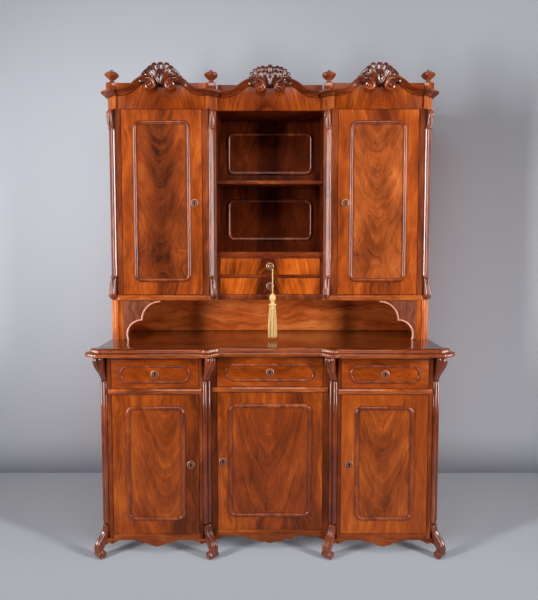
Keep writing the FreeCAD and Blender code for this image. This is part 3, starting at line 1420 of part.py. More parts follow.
os.makedirs("parts", exist_ok=True)
for piece in nodes:
    piece.Shape.exportStep(f"parts/{piece.Label}.step")
print(len(nodes), "sub-parts,", sum(len(piece.Shape.Solids) for piece in nodes), "solids")
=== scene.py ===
# %% [markdown]
# # A two-part cupboard in polished mahogany
# The cupboard has a base with three drawers over three doors, and an upper case with two doors, an open niche
# and an arched crown. The construction is finished already and comes in as a fixed frame of named nodes. This
# lesson gives the nodes their finishes and models what a joiner would call the dressing: mouldings, scrolls,
# carving, locks, and the tassel on the key.

# %% Load the frame
import json
import math
import random

import bmesh
import bpy
from mathutils import Matrix, Vector

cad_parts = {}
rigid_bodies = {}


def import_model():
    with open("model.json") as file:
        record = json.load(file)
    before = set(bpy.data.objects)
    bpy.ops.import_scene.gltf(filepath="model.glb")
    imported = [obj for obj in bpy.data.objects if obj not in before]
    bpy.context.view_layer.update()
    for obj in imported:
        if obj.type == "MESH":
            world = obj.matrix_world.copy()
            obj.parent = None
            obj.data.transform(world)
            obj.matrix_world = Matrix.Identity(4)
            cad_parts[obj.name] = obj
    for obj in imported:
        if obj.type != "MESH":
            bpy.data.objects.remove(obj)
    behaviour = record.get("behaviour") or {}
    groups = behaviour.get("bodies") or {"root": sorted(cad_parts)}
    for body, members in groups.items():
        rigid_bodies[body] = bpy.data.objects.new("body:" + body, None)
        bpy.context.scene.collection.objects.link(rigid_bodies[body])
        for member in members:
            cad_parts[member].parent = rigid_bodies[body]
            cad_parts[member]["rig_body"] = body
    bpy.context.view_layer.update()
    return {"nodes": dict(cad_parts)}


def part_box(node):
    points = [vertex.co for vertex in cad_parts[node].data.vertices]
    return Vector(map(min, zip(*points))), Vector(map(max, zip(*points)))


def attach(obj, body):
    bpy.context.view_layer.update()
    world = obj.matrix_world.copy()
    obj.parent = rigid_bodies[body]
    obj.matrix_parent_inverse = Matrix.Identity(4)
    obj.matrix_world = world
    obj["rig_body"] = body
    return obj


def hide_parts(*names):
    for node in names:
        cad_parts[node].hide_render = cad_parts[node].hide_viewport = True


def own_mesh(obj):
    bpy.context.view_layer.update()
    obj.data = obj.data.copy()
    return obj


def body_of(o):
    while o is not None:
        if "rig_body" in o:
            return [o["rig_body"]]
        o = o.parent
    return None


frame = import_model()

nodes = frame["nodes"]

# %% [markdown]
# ## The camera
# The picture was taken from a little over table height, about 2.7 m away, with the lens tilted slightly down.
# A long lens from further off would flatten the depth of the worktop, so the distance matters more than the
# framing. The small shift moves the frame and leaves the perspective alone.

# %% Camera
CAMERA_PLACE = (0.0, -2.695, 1.416)
CAMERA_TILT = 3.77
CAMERA_LENS = 33.6
CAMERA_SHIFT = (-0.0017, -0.0333)
SENSOR_WIDTH = 36

camera = bpy.data.objects.new("camera", bpy.data.cameras.new("camera"))
bpy.context.scene.collection.objects.link(camera)
camera.location = CAMERA_PLACE
camera.rotation_euler = (math.radians(90 - CAMERA_TILT), 0, 0)
camera.data.sensor_width = SENSOR_WIDTH
camera.data.lens = CAMERA_LENS
camera.data.shift_x, camera.data.shift_y = CAMERA_SHIFT
bpy.context.scene.camera = camera
bpy.context.scene.view_settings.view_transform = "Standard"
print("camera", CAMERA_LENS, "mm at", CAMERA_PLACE)

# %% [markdown]
# ## Ways of working
# The pieces are modelled as by hand: a primitive is added, opened in edit mode, shaped with operators, and
# finished. Operators act on whatever is selected, so a few helpers keep that in order. One starts a piece
# with nothing else selected, one selects by a rule, and one closes the piece. Others name what is done most.


# %% Modelling helpers
def only(*pieces):
    """Select these pieces and nothing else, with the first of them active."""
    bpy.ops.object.select_all(action="DESELECT")
    for piece in pieces:
        piece.select_set(True)
    bpy.context.view_layer.objects.active = pieces[0]


def begin(name, primitive, scale=(1, 1, 1), **settings):
    """Add a primitive with nothing else selected, and open it in edit mode at its size and place."""
    bpy.ops.object.select_all(action="DESELECT")
    primitive(**settings)
    piece = bpy.context.object
    piece.name = name
    piece.scale = scale
    bpy.ops.object.transform_apply(location=True, rotation=True, scale=True)
    bpy.ops.object.mode_set(mode="EDIT")
    return piece


def disc(name, vertices, radius, **settings):
    """Begin a piece as a filled circle."""
    return begin(name, bpy.ops.mesh.primitive_circle_add, vertices=vertices, radius=radius, fill_type="NGON",
                 **settings)


def block(name, low, high):
    """Begin a piece as a box between two corners."""
    centre = [(a + b) / 2 for a, b in zip(low, high)]
    size = [b - a for a, b in zip(low, high)]
    return begin(name, bpy.ops.mesh.primitive_cube_add, size=1, location=centre, scale=size)


def pick(piece, kind, rule):
    """Select the vertices, edges or faces for which a rule holds, and only those."""
    bpy.ops.mesh.select_mode(type=kind)
    bpy.ops.mesh.select_all(action="DESELECT")
    mesh = bmesh.from_edit_mesh(piece.data)
    for item in {"VERT": mesh.verts, "EDGE": mesh.edges, "FACE": mesh.faces}[kind]:
        item.select_set(rule(item))
    mesh.select_flush_mode()
    bmesh.update_edit_mesh(piece.data)


def extrude(x, y, z):
    """Extrude what is selected by a move."""
    bpy.ops.mesh.extrude_region_move(TRANSFORM_OT_translate={"value": (x, y, z)})


def close(mend=True):
    """Merge doubles, turn the faces of the open piece outwards, and leave edit mode."""
    bpy.ops.mesh.select_all(action="SELECT")
    if mend:
        bpy.ops.mesh.remove_doubles(threshold=0.00002)
    bpy.ops.mesh.normals_make_consistent(inside=False)
    bpy.ops.object.mode_set(mode="OBJECT")


print("helpers for modelling ready")

# %% [markdown]
# ## Floor and light
# Polish shows its surroundings, so the light is as much a part of this finish as the colour. Two tall soft
# boxes in front and two at the sides draw the long bright lines on the round mouldings, and one above lights
# the worktop. The floor is a pale sheet that swings up about a line behind the cupboard until it stands. The
# curve at the back shows no corner, and the way of the sheet closes a pale tent over the cupboard, which the
# polish reflects. A box room would show its edges there. The tent is clear from outside and lets the light of
# every box through, also of a sixth one behind it. So the cupboard can be looked at from all round.

# %% Floor
FLOOR_FRONT = -4.0
FLOOR_BACK = 0.75
FLOOR_WIDTH = 12.0
FLOOR_LEVEL = -0.0005
BACKDROP_HEIGHT = 5.0
BACKDROP_CURVE = 0.35

floor = begin("floor", bpy.ops.mesh.primitive_plane_add, size=1,
              location=(0, (FLOOR_FRONT + FLOOR_BACK) / 2, FLOOR_LEVEL),
              scale=(FLOOR_WIDTH, FLOOR_BACK - FLOOR_FRONT, 1))
bpy.ops.mesh.select_all(action="SELECT")
bpy.ops.mesh.spin(steps=12, angle=math.pi / 2, center=(0, FLOOR_BACK, BACKDROP_CURVE), axis=(1, 0, 0))
extrude(0, 0, BACKDROP_HEIGHT)
bpy.ops.mesh.select_all(action="SELECT")
bpy.ops.mesh.normals_make_consistent(inside=False)
if bmesh.from_edit_mesh(floor.data).faces[:][0].normal.z < 0:
    bpy.ops.mesh.flip_normals()
bpy.ops.object.mode_set(mode="OBJECT")
bpy.ops.object.shade_smooth()
print("floor of", len(floor.data.polygons), "faces")


# %% Pale sheet
def new_material(name):
    """A new material with its node tree and its shader."""
    made = bpy.data.materials.new(name)
    made.use_nodes = True
    return made, made.node_tree, made.node_tree.nodes["Principled BSDF"]


def settle(node, **settings):
    """Set the properties of a node and the values of its inputs by name."""
    for name, value in settings.items():
        if name in node.bl_rna.properties:
            setattr(node, name, value)
        else:
            node.inputs[name.replace("_", " ")].default_value = value


def add(tree, kind, **settings):
    """Add a shader node of a kind with its settings."""
    made = tree.nodes.new("ShaderNode" + kind)
    settle(made, **settings)
    return made


def link(tree, *pairs):
    """Join outputs to inputs, pair by pair."""
    for output, socket in pairs:
        tree.links.new(output, socket)


sheet, sheet_tree, sheet_shader = new_material("pale_sheet")
settle(sheet_shader, Base_Color=(0.42, 0.434, 0.47, 1), Roughness=0.9)
seen = add(sheet_tree, "NewGeometry")
ray = add(sheet_tree, "LightPath")
open_way = add(sheet_tree, "Math", operation="MAXIMUM")
clear = add(sheet_tree, "BsdfTransparent")
one_way = add(sheet_tree, "MixShader")
link(sheet_tree, (seen.outputs["Backfacing"], open_way.inputs[0]),
     (ray.outputs["Is Shadow Ray"], open_way.inputs[1]), (open_way.outputs[0], one_way.inputs[0]),
     (sheet_shader.outputs[0], one_way.inputs[1]), (clear.outputs[0], one_way.inputs[2]),
     (one_way.outputs[0], sheet_tree.nodes["Material Output"].inputs["Surface"]))
floor.data.materials.append(sheet)
print("sheet that is clear from outside")


# %% Light
def soft_box(name, place, aim, size, power, spread):
    """An area lamp at a place, aimed at a point, with its light held within a spread in degrees."""
    lamp = bpy.data.lights.new(name, "AREA")
    lamp.shape = "RECTANGLE"
    lamp.size, lamp.size_y = size
    lamp.energy = power
    lamp.spread = math.radians(spread)
    holder = bpy.data.objects.new(name, lamp)
    bpy.context.scene.collection.objects.link(holder)
    holder.location = place
    holder.rotation_euler = (Vector(aim) - Vector(place)).to_track_quat("-Z", "Y").to_euler()


ROOM_COLOUR = (1.0, 0.98, 0.96, 1)
ROOM_STRENGTH = 0.12
FRONT_POWER, SIDE_POWER, TOP_POWER, BACK_POWER = 46, 7.5, 19, 3.5

world = bpy.data.worlds.new("room")
bpy.context.scene.world = world
world.use_nodes = True
settle(world.node_tree.nodes["Background"], Color=ROOM_COLOUR, Strength=ROOM_STRENGTH)
for side in (-1, 1):
    soft_box(f"front_box_{side + 2}", (side * 3.0, -2.2, 1.75), (-side * 0.35, 0, 1.4), (0.4, 2.4),
             FRONT_POWER, 110)
    soft_box(f"side_box_{side + 2}", (side * 3.2, -0.45, 1.5), (0, -0.15, 1.35), (0.9, 2.2), SIDE_POWER, 80)
soft_box("top_box", (0, -2.4, 3.7), (0, 0, 1.5), (2.6, 1.0), TOP_POWER, 110)
soft_box("back_box", (0, 3.4, 2.4), (0, 0.3, 1.2), (1.8, 1.2), BACK_POWER, 44)
print("six soft boxes and a faint room light")

# %% [markdown]
# ## Wood
# Mahogany has three scales of figure. Broad clouds and plumes come from the crotch of the tree, where the
# veneer was cut. Streaks follow the grain, and fine dark pores lie along it. Image textures would fix the
# pattern to one plank, so each scale is a noise texture here, stretched along the grain. The plumes are the
# same noise, read on coordinates that lean away from an upright middle line, as in matched veneer.


# %% Node helpers
def colour_of(red, green, blue):
    """A colour as it looks on screen, from 0 to 255, as the linear values that a shader takes."""
    values = [channel / 255 for channel in (red, green, blue)]
    return tuple(v / 12.92 if v <= 0.04045 else ((v + 0.055) / 1.055) ** 2.4 for v in values) + (1,)


def feed(tree, value, socket):
    """Join a socket to an input, or put a plain number in it."""
    if isinstance(value, bpy.types.NodeSocket):
        tree.links.new(value, socket)
    else:
        socket.default_value = value


def sum_of(tree, operation, first, second=0.0):
    """The output of a Math node on two values."""
    made = add(tree, "Math", operation=operation)
    feed(tree, first, made.inputs[0])
    feed(tree, second, made.inputs[1])
    return made.outputs[0]


def sums(tree):
    """Short ways to add, subtract and multiply in one tree."""
    return [lambda first, second, operation=operation: sum_of(tree, operation, first, second)
            for operation in ("ADD", "SUBTRACT", "MULTIPLY")]


def ranged(tree, value, **settings):
    """The output of a Map Range node on a value."""
    made = add(tree, "MapRange", **settings)
    tree.links.new(value, made.inputs["Value"])
    return made.outputs["Result"]


def noise_at(tree, across, along, layer, detail=3.0, roughness=0.55):
    """Noise read at two coordinates, with a third that picks another sheet of it."""
    place = add(tree, "CombineXYZ")
    for value, socket in zip((across, along, layer), place.inputs):
        feed(tree, value, socket)
    noise = add(tree, "TexNoise", Scale=1.0, Detail=detail, Roughness=roughness)
    tree.links.new(place.outputs[0], noise.inputs["Vector"])
    return noise.outputs["Fac"]


def new_group(name, inputs, outputs):
    """An empty shader node group that takes a vector and numbers, and its input and output sockets."""
    tree = bpy.data.node_groups.new(name, "ShaderNodeTree")
    tree.interface.new_socket("Vector", in_out="INPUT", socket_type="NodeSocketVector")
    for label in inputs:
        tree.interface.new_socket(label, in_out="INPUT", socket_type="NodeSocketFloat")
    for label in outputs:
        tree.interface.new_socket(label, in_out="OUTPUT", socket_type="NodeSocketFloat")
    return tree, tree.nodes.new("NodeGroupInput").outputs, tree.nodes.new("NodeGroupOutput").inputs


print("node helpers ready")

# %% Grain group
SWAY_SCALE = (5.0, 4.0)
PLUME_SCALE = 24.0
FEATHER_SCALE = 95.0
STREAK_SCALE = (34.0, 2.0)
CLOUD_SCALE = (9.0, 5.0)
PORE_SCALE = (420.0, 16.0)
FEATHER_SHEET, CLOUD_SHEET = 3.0, 7.0


def make_grain_group():
    """Clouds, plumes and streaks as one figure, with the pores apart. The grain runs along Z."""
    tree, given, out = new_group("mahogany_grain", ("Lean", "Plume", "Smoke", "Seed"), ("Figure", "Pores"))
    plus, less, times = sums(tree)
    seed = given["Seed"]
    parts = add(tree, "SeparateXYZ")
    tree.links.new(given["Vector"], parts.inputs[0])
    across = plus(parts.outputs["X"], times(parts.outputs["Y"], 0.6))
    along = parts.outputs["Z"]
    sway = less(noise_at(tree, times(across, SWAY_SCALE[0]), times(along, SWAY_SCALE[1]), seed), 0.5)
    # The coordinates of the plumes: how far aside of the middle line, and how far up along the bow.
    squared = plus(times(across, across), 0.0004)
    aside = sum_of(tree, "SQRT", squared)
    turned = ranged(tree, along, From_Min=0.06, From_Max=0.2, To_Min=-0.8)
    bow = times(times(plus(aside, times(squared, 9.0)), given["Lean"]), turned)
    rise = plus(less(along, bow), times(sway, 0.16))
    spread = plus(times(aside, 9.0), sway)
    plume = noise_at(tree, times(rise, PLUME_SCALE), spread, seed, 5.0, 0.62)
    feather = noise_at(tree, times(rise, FEATHER_SCALE), times(spread, 2.2), plus(seed, FEATHER_SHEET))
    plume = plus(times(plume, 0.66), times(feather, 0.34))
    drift = plus(times(across, STREAK_SCALE[0]), times(sway, 5.0))
    streak = noise_at(tree, drift, times(along, STREAK_SCALE[1]), seed, 5.0, 0.6)
    cloud = noise_at(tree, times(across, CLOUD_SCALE[0]), times(along, CLOUD_SCALE[1]),
                     plus(seed, CLOUD_SHEET))
    mixed = add(tree, "Mix", data_type="FLOAT")
    link(tree, (given["Plume"], mixed.inputs["Factor"]), (streak, mixed.inputs["A"]),
         (plume, mixed.inputs["B"]))
    figure = plus(times(mixed.outputs["Result"], 0.58), times(cloud, 0.42))
    middle = ranged(tree, aside, interpolation_type="SMOOTHSTEP", From_Min=0.02, From_Max=0.11, To_Min=1.0,
                    To_Max=0.0)
    haze = times(times(middle, cloud), given["Smoke"])
    contrast = ranged(tree, less(figure, times(haze, 0.22)), From_Min=0.34, From_Max=0.68)
    fine = plus(times(across, PORE_SCALE[0]), times(sway, 30.0))
    pores = noise_at(tree, fine, times(along, PORE_SCALE[1]), seed, 2.0)
    dashes = ranged(tree, pores, From_Min=0.3, From_Max=0.5)
    link(tree, (contrast, out["Figure"]), (dashes, out["Pores"]))
    return tree


grain_group = make_grain_group()
print("group", grain_group.name, "with", len(grain_group.nodes), "nodes")


# %% Polish group
def make_polish_group():
    """Hand-rubbed polish: a faint unevenness for the bump, and patches that are a little duller."""
    tree, given, out = new_group("rubbed_polish", ("Dullness",), ("Roughness", "Height"))
    ripple = add(tree, "TexNoise", Scale=26.0, Detail=2.0)
    patch = add(tree, "TexNoise", Scale=7.0, Detail=3.0)
    duller = sum_of(tree, "MULTIPLY", patch.outputs["Fac"], 0.22)
    link(tree, (given["Vector"], ripple.inputs["Vector"]), (given["Vector"], patch.inputs["Vector"]),
         (ripple.outputs["Fac"], out["Height"]),
         (sum_of(tree, "ADD", given["Dullness"], duller), out["Roughness"]))
    return tree


polish_group = make_polish_group()
print("group", polish_group.name, "with", len(polish_group.nodes), "nodes")

# %% [markdown]
# ## Wood finishes
# One recipe makes every wood finish of the cupboard: the grain group picks a colour between the dark of the
# heartwood and the orange of the light streaks, the pores darken it, and the polish group sets gloss and
# ripple. A finish differs in its colours, in how far its grain turns, and in whether it shows plumes. Round
# mouldings are rubbed most, so theirs has a clear coat over it, which keeps its bright lines sharp.

# %% Wood recipe
UPRIGHT = (0, 0, 0)
LEVEL = (0, math.pi / 2, 0)
MIDDLE_STOP = 0.52
CAP_SHADE = (0.3, 0.3, 0.36, 1)


def wood(name, seed, dark, middle, light, turn=UPRIGHT, centre=(0, 0, 0), lean=0.0, plume=0.0, smoke=0.0,
         dullness=0.2, coat=0.15, gloss=0.12, pores=0.45, cap=None):
    """A polished wood whose grain runs along Z, turned and centred as asked, darker above a cap's level."""
    made, tree, shader = new_material(name)
    place = add(tree, "TexCoord")
    mapping = add(tree, "Mapping", vector_type="TEXTURE", Location=centre, Rotation=turn)
    grain = add(tree, "Group", node_tree=grain_group, Lean=lean, Plume=plume, Smoke=smoke, Seed=seed)
    polish = add(tree, "Group", node_tree=polish_group, Dullness=dullness)
    ramp = add(tree, "ValToRGB")
    ramp.color_ramp.elements[0].color = colour_of(*dark)
    ramp.color_ramp.elements[1].color = colour_of(*light)
    ramp.color_ramp.elements.new(MIDDLE_STOP).color = colour_of(*middle)
    shade = add(tree, "Mix", data_type="RGBA", blend_type="MULTIPLY", Factor=pores)
    ripple = add(tree, "Bump", Strength=0.05, Distance=0.002)
    link(tree, (place.outputs["Object"], mapping.inputs["Vector"]),
         (mapping.outputs[0], grain.inputs["Vector"]), (mapping.outputs[0], polish.inputs["Vector"]),
         (grain.outputs["Figure"], ramp.inputs["Fac"]), (ramp.outputs["Color"], shade.inputs["A"]),
         (grain.outputs["Pores"], shade.inputs["B"]),
         (polish.outputs["Roughness"], shader.inputs["Roughness"]),
         (polish.outputs["Height"], ripple.inputs["Height"]),
         (ripple.outputs["Normal"], shader.inputs["Normal"]))
    colour = shade.outputs["Result"]
    if cap is not None:
        height = add(tree, "SeparateXYZ")
        darker = add(tree, "Mix", data_type="RGBA", blend_type="MULTIPLY", B=CAP_SHADE)
        above = sum_of(tree, "GREATER_THAN", height.outputs["Z"], cap)
        link(tree, (place.outputs["Object"], height.inputs[0]), (above, darker.inputs["Factor"]),
             (colour, darker.inputs["A"]))
        colour = darker.outputs["Result"]
    tree.links.new(colour, shader.inputs["Base Color"])
    settle(shader, Specular_IOR_Level=gloss, Coat_Weight=coat, Coat_IOR=1.7, Coat_Roughness=0.07)
    return made


print("wood recipe ready")

# %% Wood finishes
upright_wood = wood("upright_mahogany", 1.3, (96, 38, 10), (164, 74, 22), (206, 110, 42), plume=0.1)
# The base finish is a darker copy of the upper one: painted shade, as the light falls off downwards.
base_wood_painted_shade = wood("base_mahogany_painted_shade", 1.7, (84, 32, 6), (148, 64, 14), (192, 98, 30), plume=0.1)
level_wood = wood("level_mahogany", 2.1, (76, 30, 8), (136, 60, 18), (180, 94, 34), LEVEL)
edge_wood = wood("edge_mahogany", 2.6, (106, 44, 14), (168, 80, 28), (206, 114, 50), LEVEL, dullness=0.12,
                 coat=0.5)
dark_wood = wood("pilaster_mahogany", 3.7, (66, 22, 8), (116, 48, 18), (156, 76, 34), dullness=0.1, coat=0.6,
                 gloss=0.2)
post_dark = wood("corner_mahogany", 3.8, (70, 26, 10), (118, 52, 23), (154, 78, 38), dullness=0.25, coat=0.05)
bead_wood = wood("moulding_mahogany", 3.9, (78, 28, 9), (130, 56, 20), (170, 86, 37), dullness=0.1, coat=0.5)
shaft_wood = wood("shaft_mahogany", 4.1, (80, 32, 18), (126, 60, 34), (160, 86, 52), dullness=0.1, coat=0.5,
                  gloss=0.2)
apron_wood = wood("apron_mahogany", 4.2, (80, 32, 10), (136, 61, 20), (178, 93, 36), LEVEL, coat=0.1)
rim_wood = wood("rim_mahogany", 4.3, (84, 33, 11), (142, 64, 23), (182, 97, 43), LEVEL, dullness=0.1,
                coat=0.7)
level_dark_wood = wood("level_moulding_mahogany", 4.4, (62, 20, 6), (114, 46, 15), (154, 76, 30), LEVEL,
                       dullness=0.12, coat=0.5)
carved_wood = wood("carved_mahogany", 4.9, (44, 14, 7), (84, 32, 14), (118, 54, 26), dullness=0.08, coat=1.0,
                   gloss=0.25)
top_wood = wood("worktop_mahogany", 5.2, (56, 20, 7), (102, 44, 16), (142, 68, 26), LEVEL, dullness=0.06,
                coat=0.5)
# The backboard is painted much lighter than its wood: painted light under the upper case, where little lamp
# light falls.
back_wood_painted_light = wood("backboard_painted_light", 5.9, (154, 62, 22), (222, 108, 48), (248, 150, 76), LEVEL)
bracket_wood = wood("bracket_mahogany", 6.0, (80, 36, 24), (124, 66, 46), (154, 90, 66))
post_wood = wood("post_mahogany", 6.1, (136, 60, 18), (196, 94, 32), (228, 130, 56), coat=0.3)
# A pale tone for the bracket beads: a painted highlight along their round.
pale_edge_painted_highlight = wood("bead_painted_highlight", 6.3, (176, 106, 80), (218, 152, 124), (242, 190, 164), coat=0.6)
block_wood = wood("block_mahogany", 6.4, (92, 36, 10), (156, 72, 22), (200, 108, 44), cap=2.104)
# The niche finish is near black: painted shade of the deep niche, with no coat to reflect.
niche_wood_painted_shade = wood("niche_painted_shade", 6.2, (46, 13, 4), (92, 33, 9), (132, 56, 18), dullness=0.3, coat=0.0,
                  gloss=0.06)
inner_wood = wood("inner_wood", 7.9, (92, 52, 26), (150, 98, 56), (182, 130, 82), dullness=0.42, coat=0.0,
                  pores=0.35)
print(len([m for m in bpy.data.materials if m.use_nodes]), "materials so far")

# %% [markdown]
# ## Metal
# The lock plates are worn brass, paler on the rims that hands have rubbed. The key is steel. Both tarnish in
# spots, so one group gives the tarnish to each.


# %% Metal finishes
def make_tarnish_group():
    """Spots of tarnish, from 0 on bright metal to 1."""
    tree, given, out = new_group("tarnish", ("Amount",), ("Mask",))
    spots = add(tree, "TexNoise", Scale=160.0, Detail=4.0, Roughness=0.65)
    mask = sum_of(tree, "MULTIPLY", spots.outputs["Fac"], given["Amount"])
    link(tree, (given["Vector"], spots.inputs["Vector"]), (mask, out["Mask"]))
    return tree


tarnish_group = make_tarnish_group()


def metal(name, bright, dull, amount, roughness, shine=1.0):
    """A metal between a bright and a tarnished colour, less of a mirror the lower its shine."""
    made, tree, shader = new_material(name)
    place = add(tree, "TexCoord")
    tarnish = add(tree, "Group", node_tree=tarnish_group, Amount=amount)
    mask = tarnish.outputs["Mask"]
    mixed = add(tree, "Mix", data_type="RGBA", A=colour_of(*bright), B=colour_of(*dull))
    rough = sum_of(tree, "ADD", sum_of(tree, "MULTIPLY", mask, 0.3), roughness)
    link(tree, (place.outputs["Object"], tarnish.inputs["Vector"]), (mask, mixed.inputs["Factor"]),
         (mixed.outputs["Result"], shader.inputs["Base Color"]), (rough, shader.inputs["Roughness"]))
    settle(shader, Metallic=shine)
    return made


brass = metal("worn_brass", (214, 168, 142), (150, 102, 80), 1.0, 0.3, 0.8)
dull_brass = metal("dull_brass", (164, 98, 70), (118, 66, 46), 1.0, 0.4, 0.3)
steel = metal("key_steel", (226, 196, 166), (142, 106, 80), 0.9, 0.2)
# Dark iron for the metalwork, which also paints the keyhole as shade.
iron_and_keyhole_shade = metal("iron_and_painted_keyhole_shade", (38, 30, 26), (16, 12, 10), 1.0, 0.5)
print("two kinds of brass, steel and iron")

# %% [markdown]
# ## Finishes on the frame
# Most boards and boxes of the construction are right as they are and only need their finish. Upright boards
# have upright grain, rails and shelves level grain. Each door was veneered from its own log, so every frame
# has its own seed. What is never seen from outside is plain waxed wood.

# %% Finishes on the frame
NODE_FINISHES = (
    (base_wood_painted_shade, ("base_side_panels", "base_pilasters", "base_front_rails", "base_aprons", "base_shelves")),
    (upright_wood, ("upper_side_panels", "upper_supports", "support_brackets", "upper_pilasters", "finials",
                    "crests")),
    (level_wood, ("upper_floor_board", "upper_shelves", "arched_cornices", "pediment_friezes",
                  "niche_mouldings")),
    (inner_wood, ("base_partitions", "base_floor_board", "base_back_panel", "drawer_runners",
                  "upper_roof_board", "left_drawer_box", "centre_drawer_box", "right_drawer_box",
                  "low_niche_drawer", "high_niche_drawer")),
    (top_wood, ("base_top_board",)), (post_dark, ("base_corner_posts", "upper_corner_posts")),
    (niche_wood_painted_shade, ("upper_partitions",)), (level_dark_wood, ("niche_drawer_case",)),
    (block_wood, ("cornice_blocks",)), (back_wood_painted_light, ("upper_back_panel",)), (steel, ("key", "lock_bolt")),
    (iron_and_keyhole_shade, [name for name in nodes if name.endswith("metalwork")]),
)


def finish_node(name, finish):
    """Put a finish on a CAD node without touching its mesh."""
    nodes[name].data.materials.clear()
    nodes[name].data.materials.append(finish)


for finish, names in NODE_FINISHES:
    for name in names:
        finish_node(name, finish)
print(sum(len(names) for finish, names in NODE_FINISHES), "nodes have their finish")

# %% Door frames
UPPER_TONES = ((92, 36, 10), (162, 72, 20), (206, 108, 40))
# The base frames are darker than the upper ones: painted shade, as the light falls off downwards.
BASE_TONES_PAINTED_SHADE = ((84, 32, 6), (148, 64, 14), (192, 98, 30))
LIGHT_TONES = ((132, 56, 14), (164, 74, 20), (196, 102, 34))
FRAMES = {"left_upper_door_frame": (76.2, UPPER_TONES), "right_upper_door_frame": (77.7, UPPER_TONES),
          "left_base_door_frame": (81.3, BASE_TONES_PAINTED_SHADE), "centre_door_frame": (82.9, BASE_TONES_PAINTED_SHADE),
          "right_base_door_frame": (84.6, LIGHT_TONES)}

for name, (seed, tones) in FRAMES.items():
    low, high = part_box(name)
    centre = ((low[0] + high[0]) / 2, 0, 0)
    finish_node(name, wood(name + "_wood", seed, *tones, centre=centre, plume=0.1, smoke=1.1))
print(len(FRAMES), "door frames, each smoky in the middle of its rails")

# %% [markdown]
# ## Cord and tassel
# A gold silk tassel hangs from the key on a twisted cord. The cord's line is a NURBS curve through the route
# of the construction. A plain tube would look like wire, so three thin strands are wound round that line,
# each of them a circle that is extruded and turned step by step. The tassel is a turned head over a skirt of
# single threads: a cone would have no thread ends.

# %% Silk
SILK_TONES = ((0.3, (178, 126, 54)), (0.72, (254, 222, 150)))

silk, silk_tree, silk_shader = new_material("gold_silk")
silk_place = add(silk_tree, "TexCoord")
silk_noise = add(silk_tree, "TexNoise", Scale=260.0, Detail=3.0)
silk_ramp = add(silk_tree, "ValToRGB")
for stop, (position, tone) in zip(silk_ramp.color_ramp.elements, SILK_TONES):
    stop.position = position
    stop.color = colour_of(*tone)
silk_bump = add(silk_tree, "Bump", Strength=0.3, Distance=0.0006)
link(silk_tree, (silk_place.outputs["Object"], silk_noise.inputs["Vector"]),
     (silk_noise.outputs["Fac"], silk_ramp.inputs["Fac"]),
     (silk_ramp.outputs["Color"], silk_shader.inputs["Base Color"]),
     (silk_noise.outputs["Fac"], silk_bump.inputs["Height"]),
     (silk_bump.outputs["Normal"], silk_shader.inputs["Normal"]))
settle(silk_shader, Roughness=0.55, Sheen_Weight=0.4)
print("gold silk")


# %% Finishing helpers
def modify(piece, kind, **settings):
    """Add a modifier and apply it at once."""
    only(piece)
    made = piece.modifiers.new(kind.lower(), kind)
    for name, value in settings.items():
        setattr(made, name, value)
    bpy.ops.object.modifier_apply(modifier=made.name)


def smooth(piece, levels=1):
    """Divide a piece into smaller and rounder faces."""
    modify(piece, "SUBSURF", levels=levels, render_levels=levels)


def ease_edges(piece, width, limit=40, segments=2):
    """Bevel the edges of a piece that turn by more than a limit in degrees."""
    modify(piece, "BEVEL", width=width, segments=segments, limit_method="ANGLE",
           angle_limit=math.radians(limit))


def dress(piece, body, slot, *finishes, angle=32, replaced=()):
    """Smooth a piece, give it its finishes and a body, and let it stand for CAD nodes."""
    only(piece)
    bpy.ops.object.shade_smooth_by_angle(angle=math.radians(angle))
    if finishes and piece.data.materials:
        piece.data.materials.clear()
    for finish in finishes:
        piece.data.materials.append(finish)
    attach(piece, body)
    if replaced:
        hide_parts(*replaced)
    return piece


def twin_of(piece, name, change):
    """A copy of a piece with its own mesh, moved by a matrix."""
    copy = bpy.data.objects.new(name, piece.data.copy())
    bpy.context.scene.collection.objects.link(copy)
    copy.data.transform(change)
    if change.determinant() < 0:
        copy.data.flip_normals()
    return copy


def joined(name, *pieces):
    """Several pieces as one."""
    only(*pieces)
    bpy.ops.object.join()
    pieces[0].name = name
    return pieces[0]


def report(piece):
    """Print how many faces a piece has, and how many of its edges don't have exactly two faces."""
    mesh = bmesh.new()
    mesh.from_mesh(piece.data)
    loose = sum(1 for edge in mesh.edges if len(edge.link_faces) != 2)
    mesh.free()
    print(piece.name, "of", len(piece.data.polygons), "faces with", loose, "loose edges")


print("helpers for finishing ready")

# %% Cord line
CORD_TOP = Vector((0.01212, -0.0193, 1.29317))
CORD_LENGTH = 0.118
CORD_WIDTH = 0.006
CORD_END = CORD_TOP - Vector((0, 0, CORD_LENGTH))

line_data = bpy.data.curves.new("cord_line", "CURVE")
line_data.dimensions = "3D"
line_spline = line_data.splines.new("NURBS")
line_spline.points.add(3)
for point, share in zip(line_spline.points, (0.0, 0.3, 0.7, 1.0)):
    point.co = (*CORD_TOP.lerp(CORD_END, share), 1)
line_spline.order_u = 3
line_spline.use_endpoint_u = True
line_object = bpy.data.objects.new("cord_line", line_data)
bpy.context.scene.collection.objects.link(line_object)
line_mesh = bpy.data.meshes.new_from_object(line_object)
bpy.data.objects.remove(line_object)

# %% Cord
STRANDS = 3
STRAND_RADIUS = CORD_WIDTH * 0.27
STRAND_REACH = CORD_WIDTH * 0.23
CORD_TURNS = 9
CORD_STEPS = 72
FULL_TURN = 2 * math.pi
STEP_TURN = FULL_TURN * CORD_TURNS / CORD_STEPS

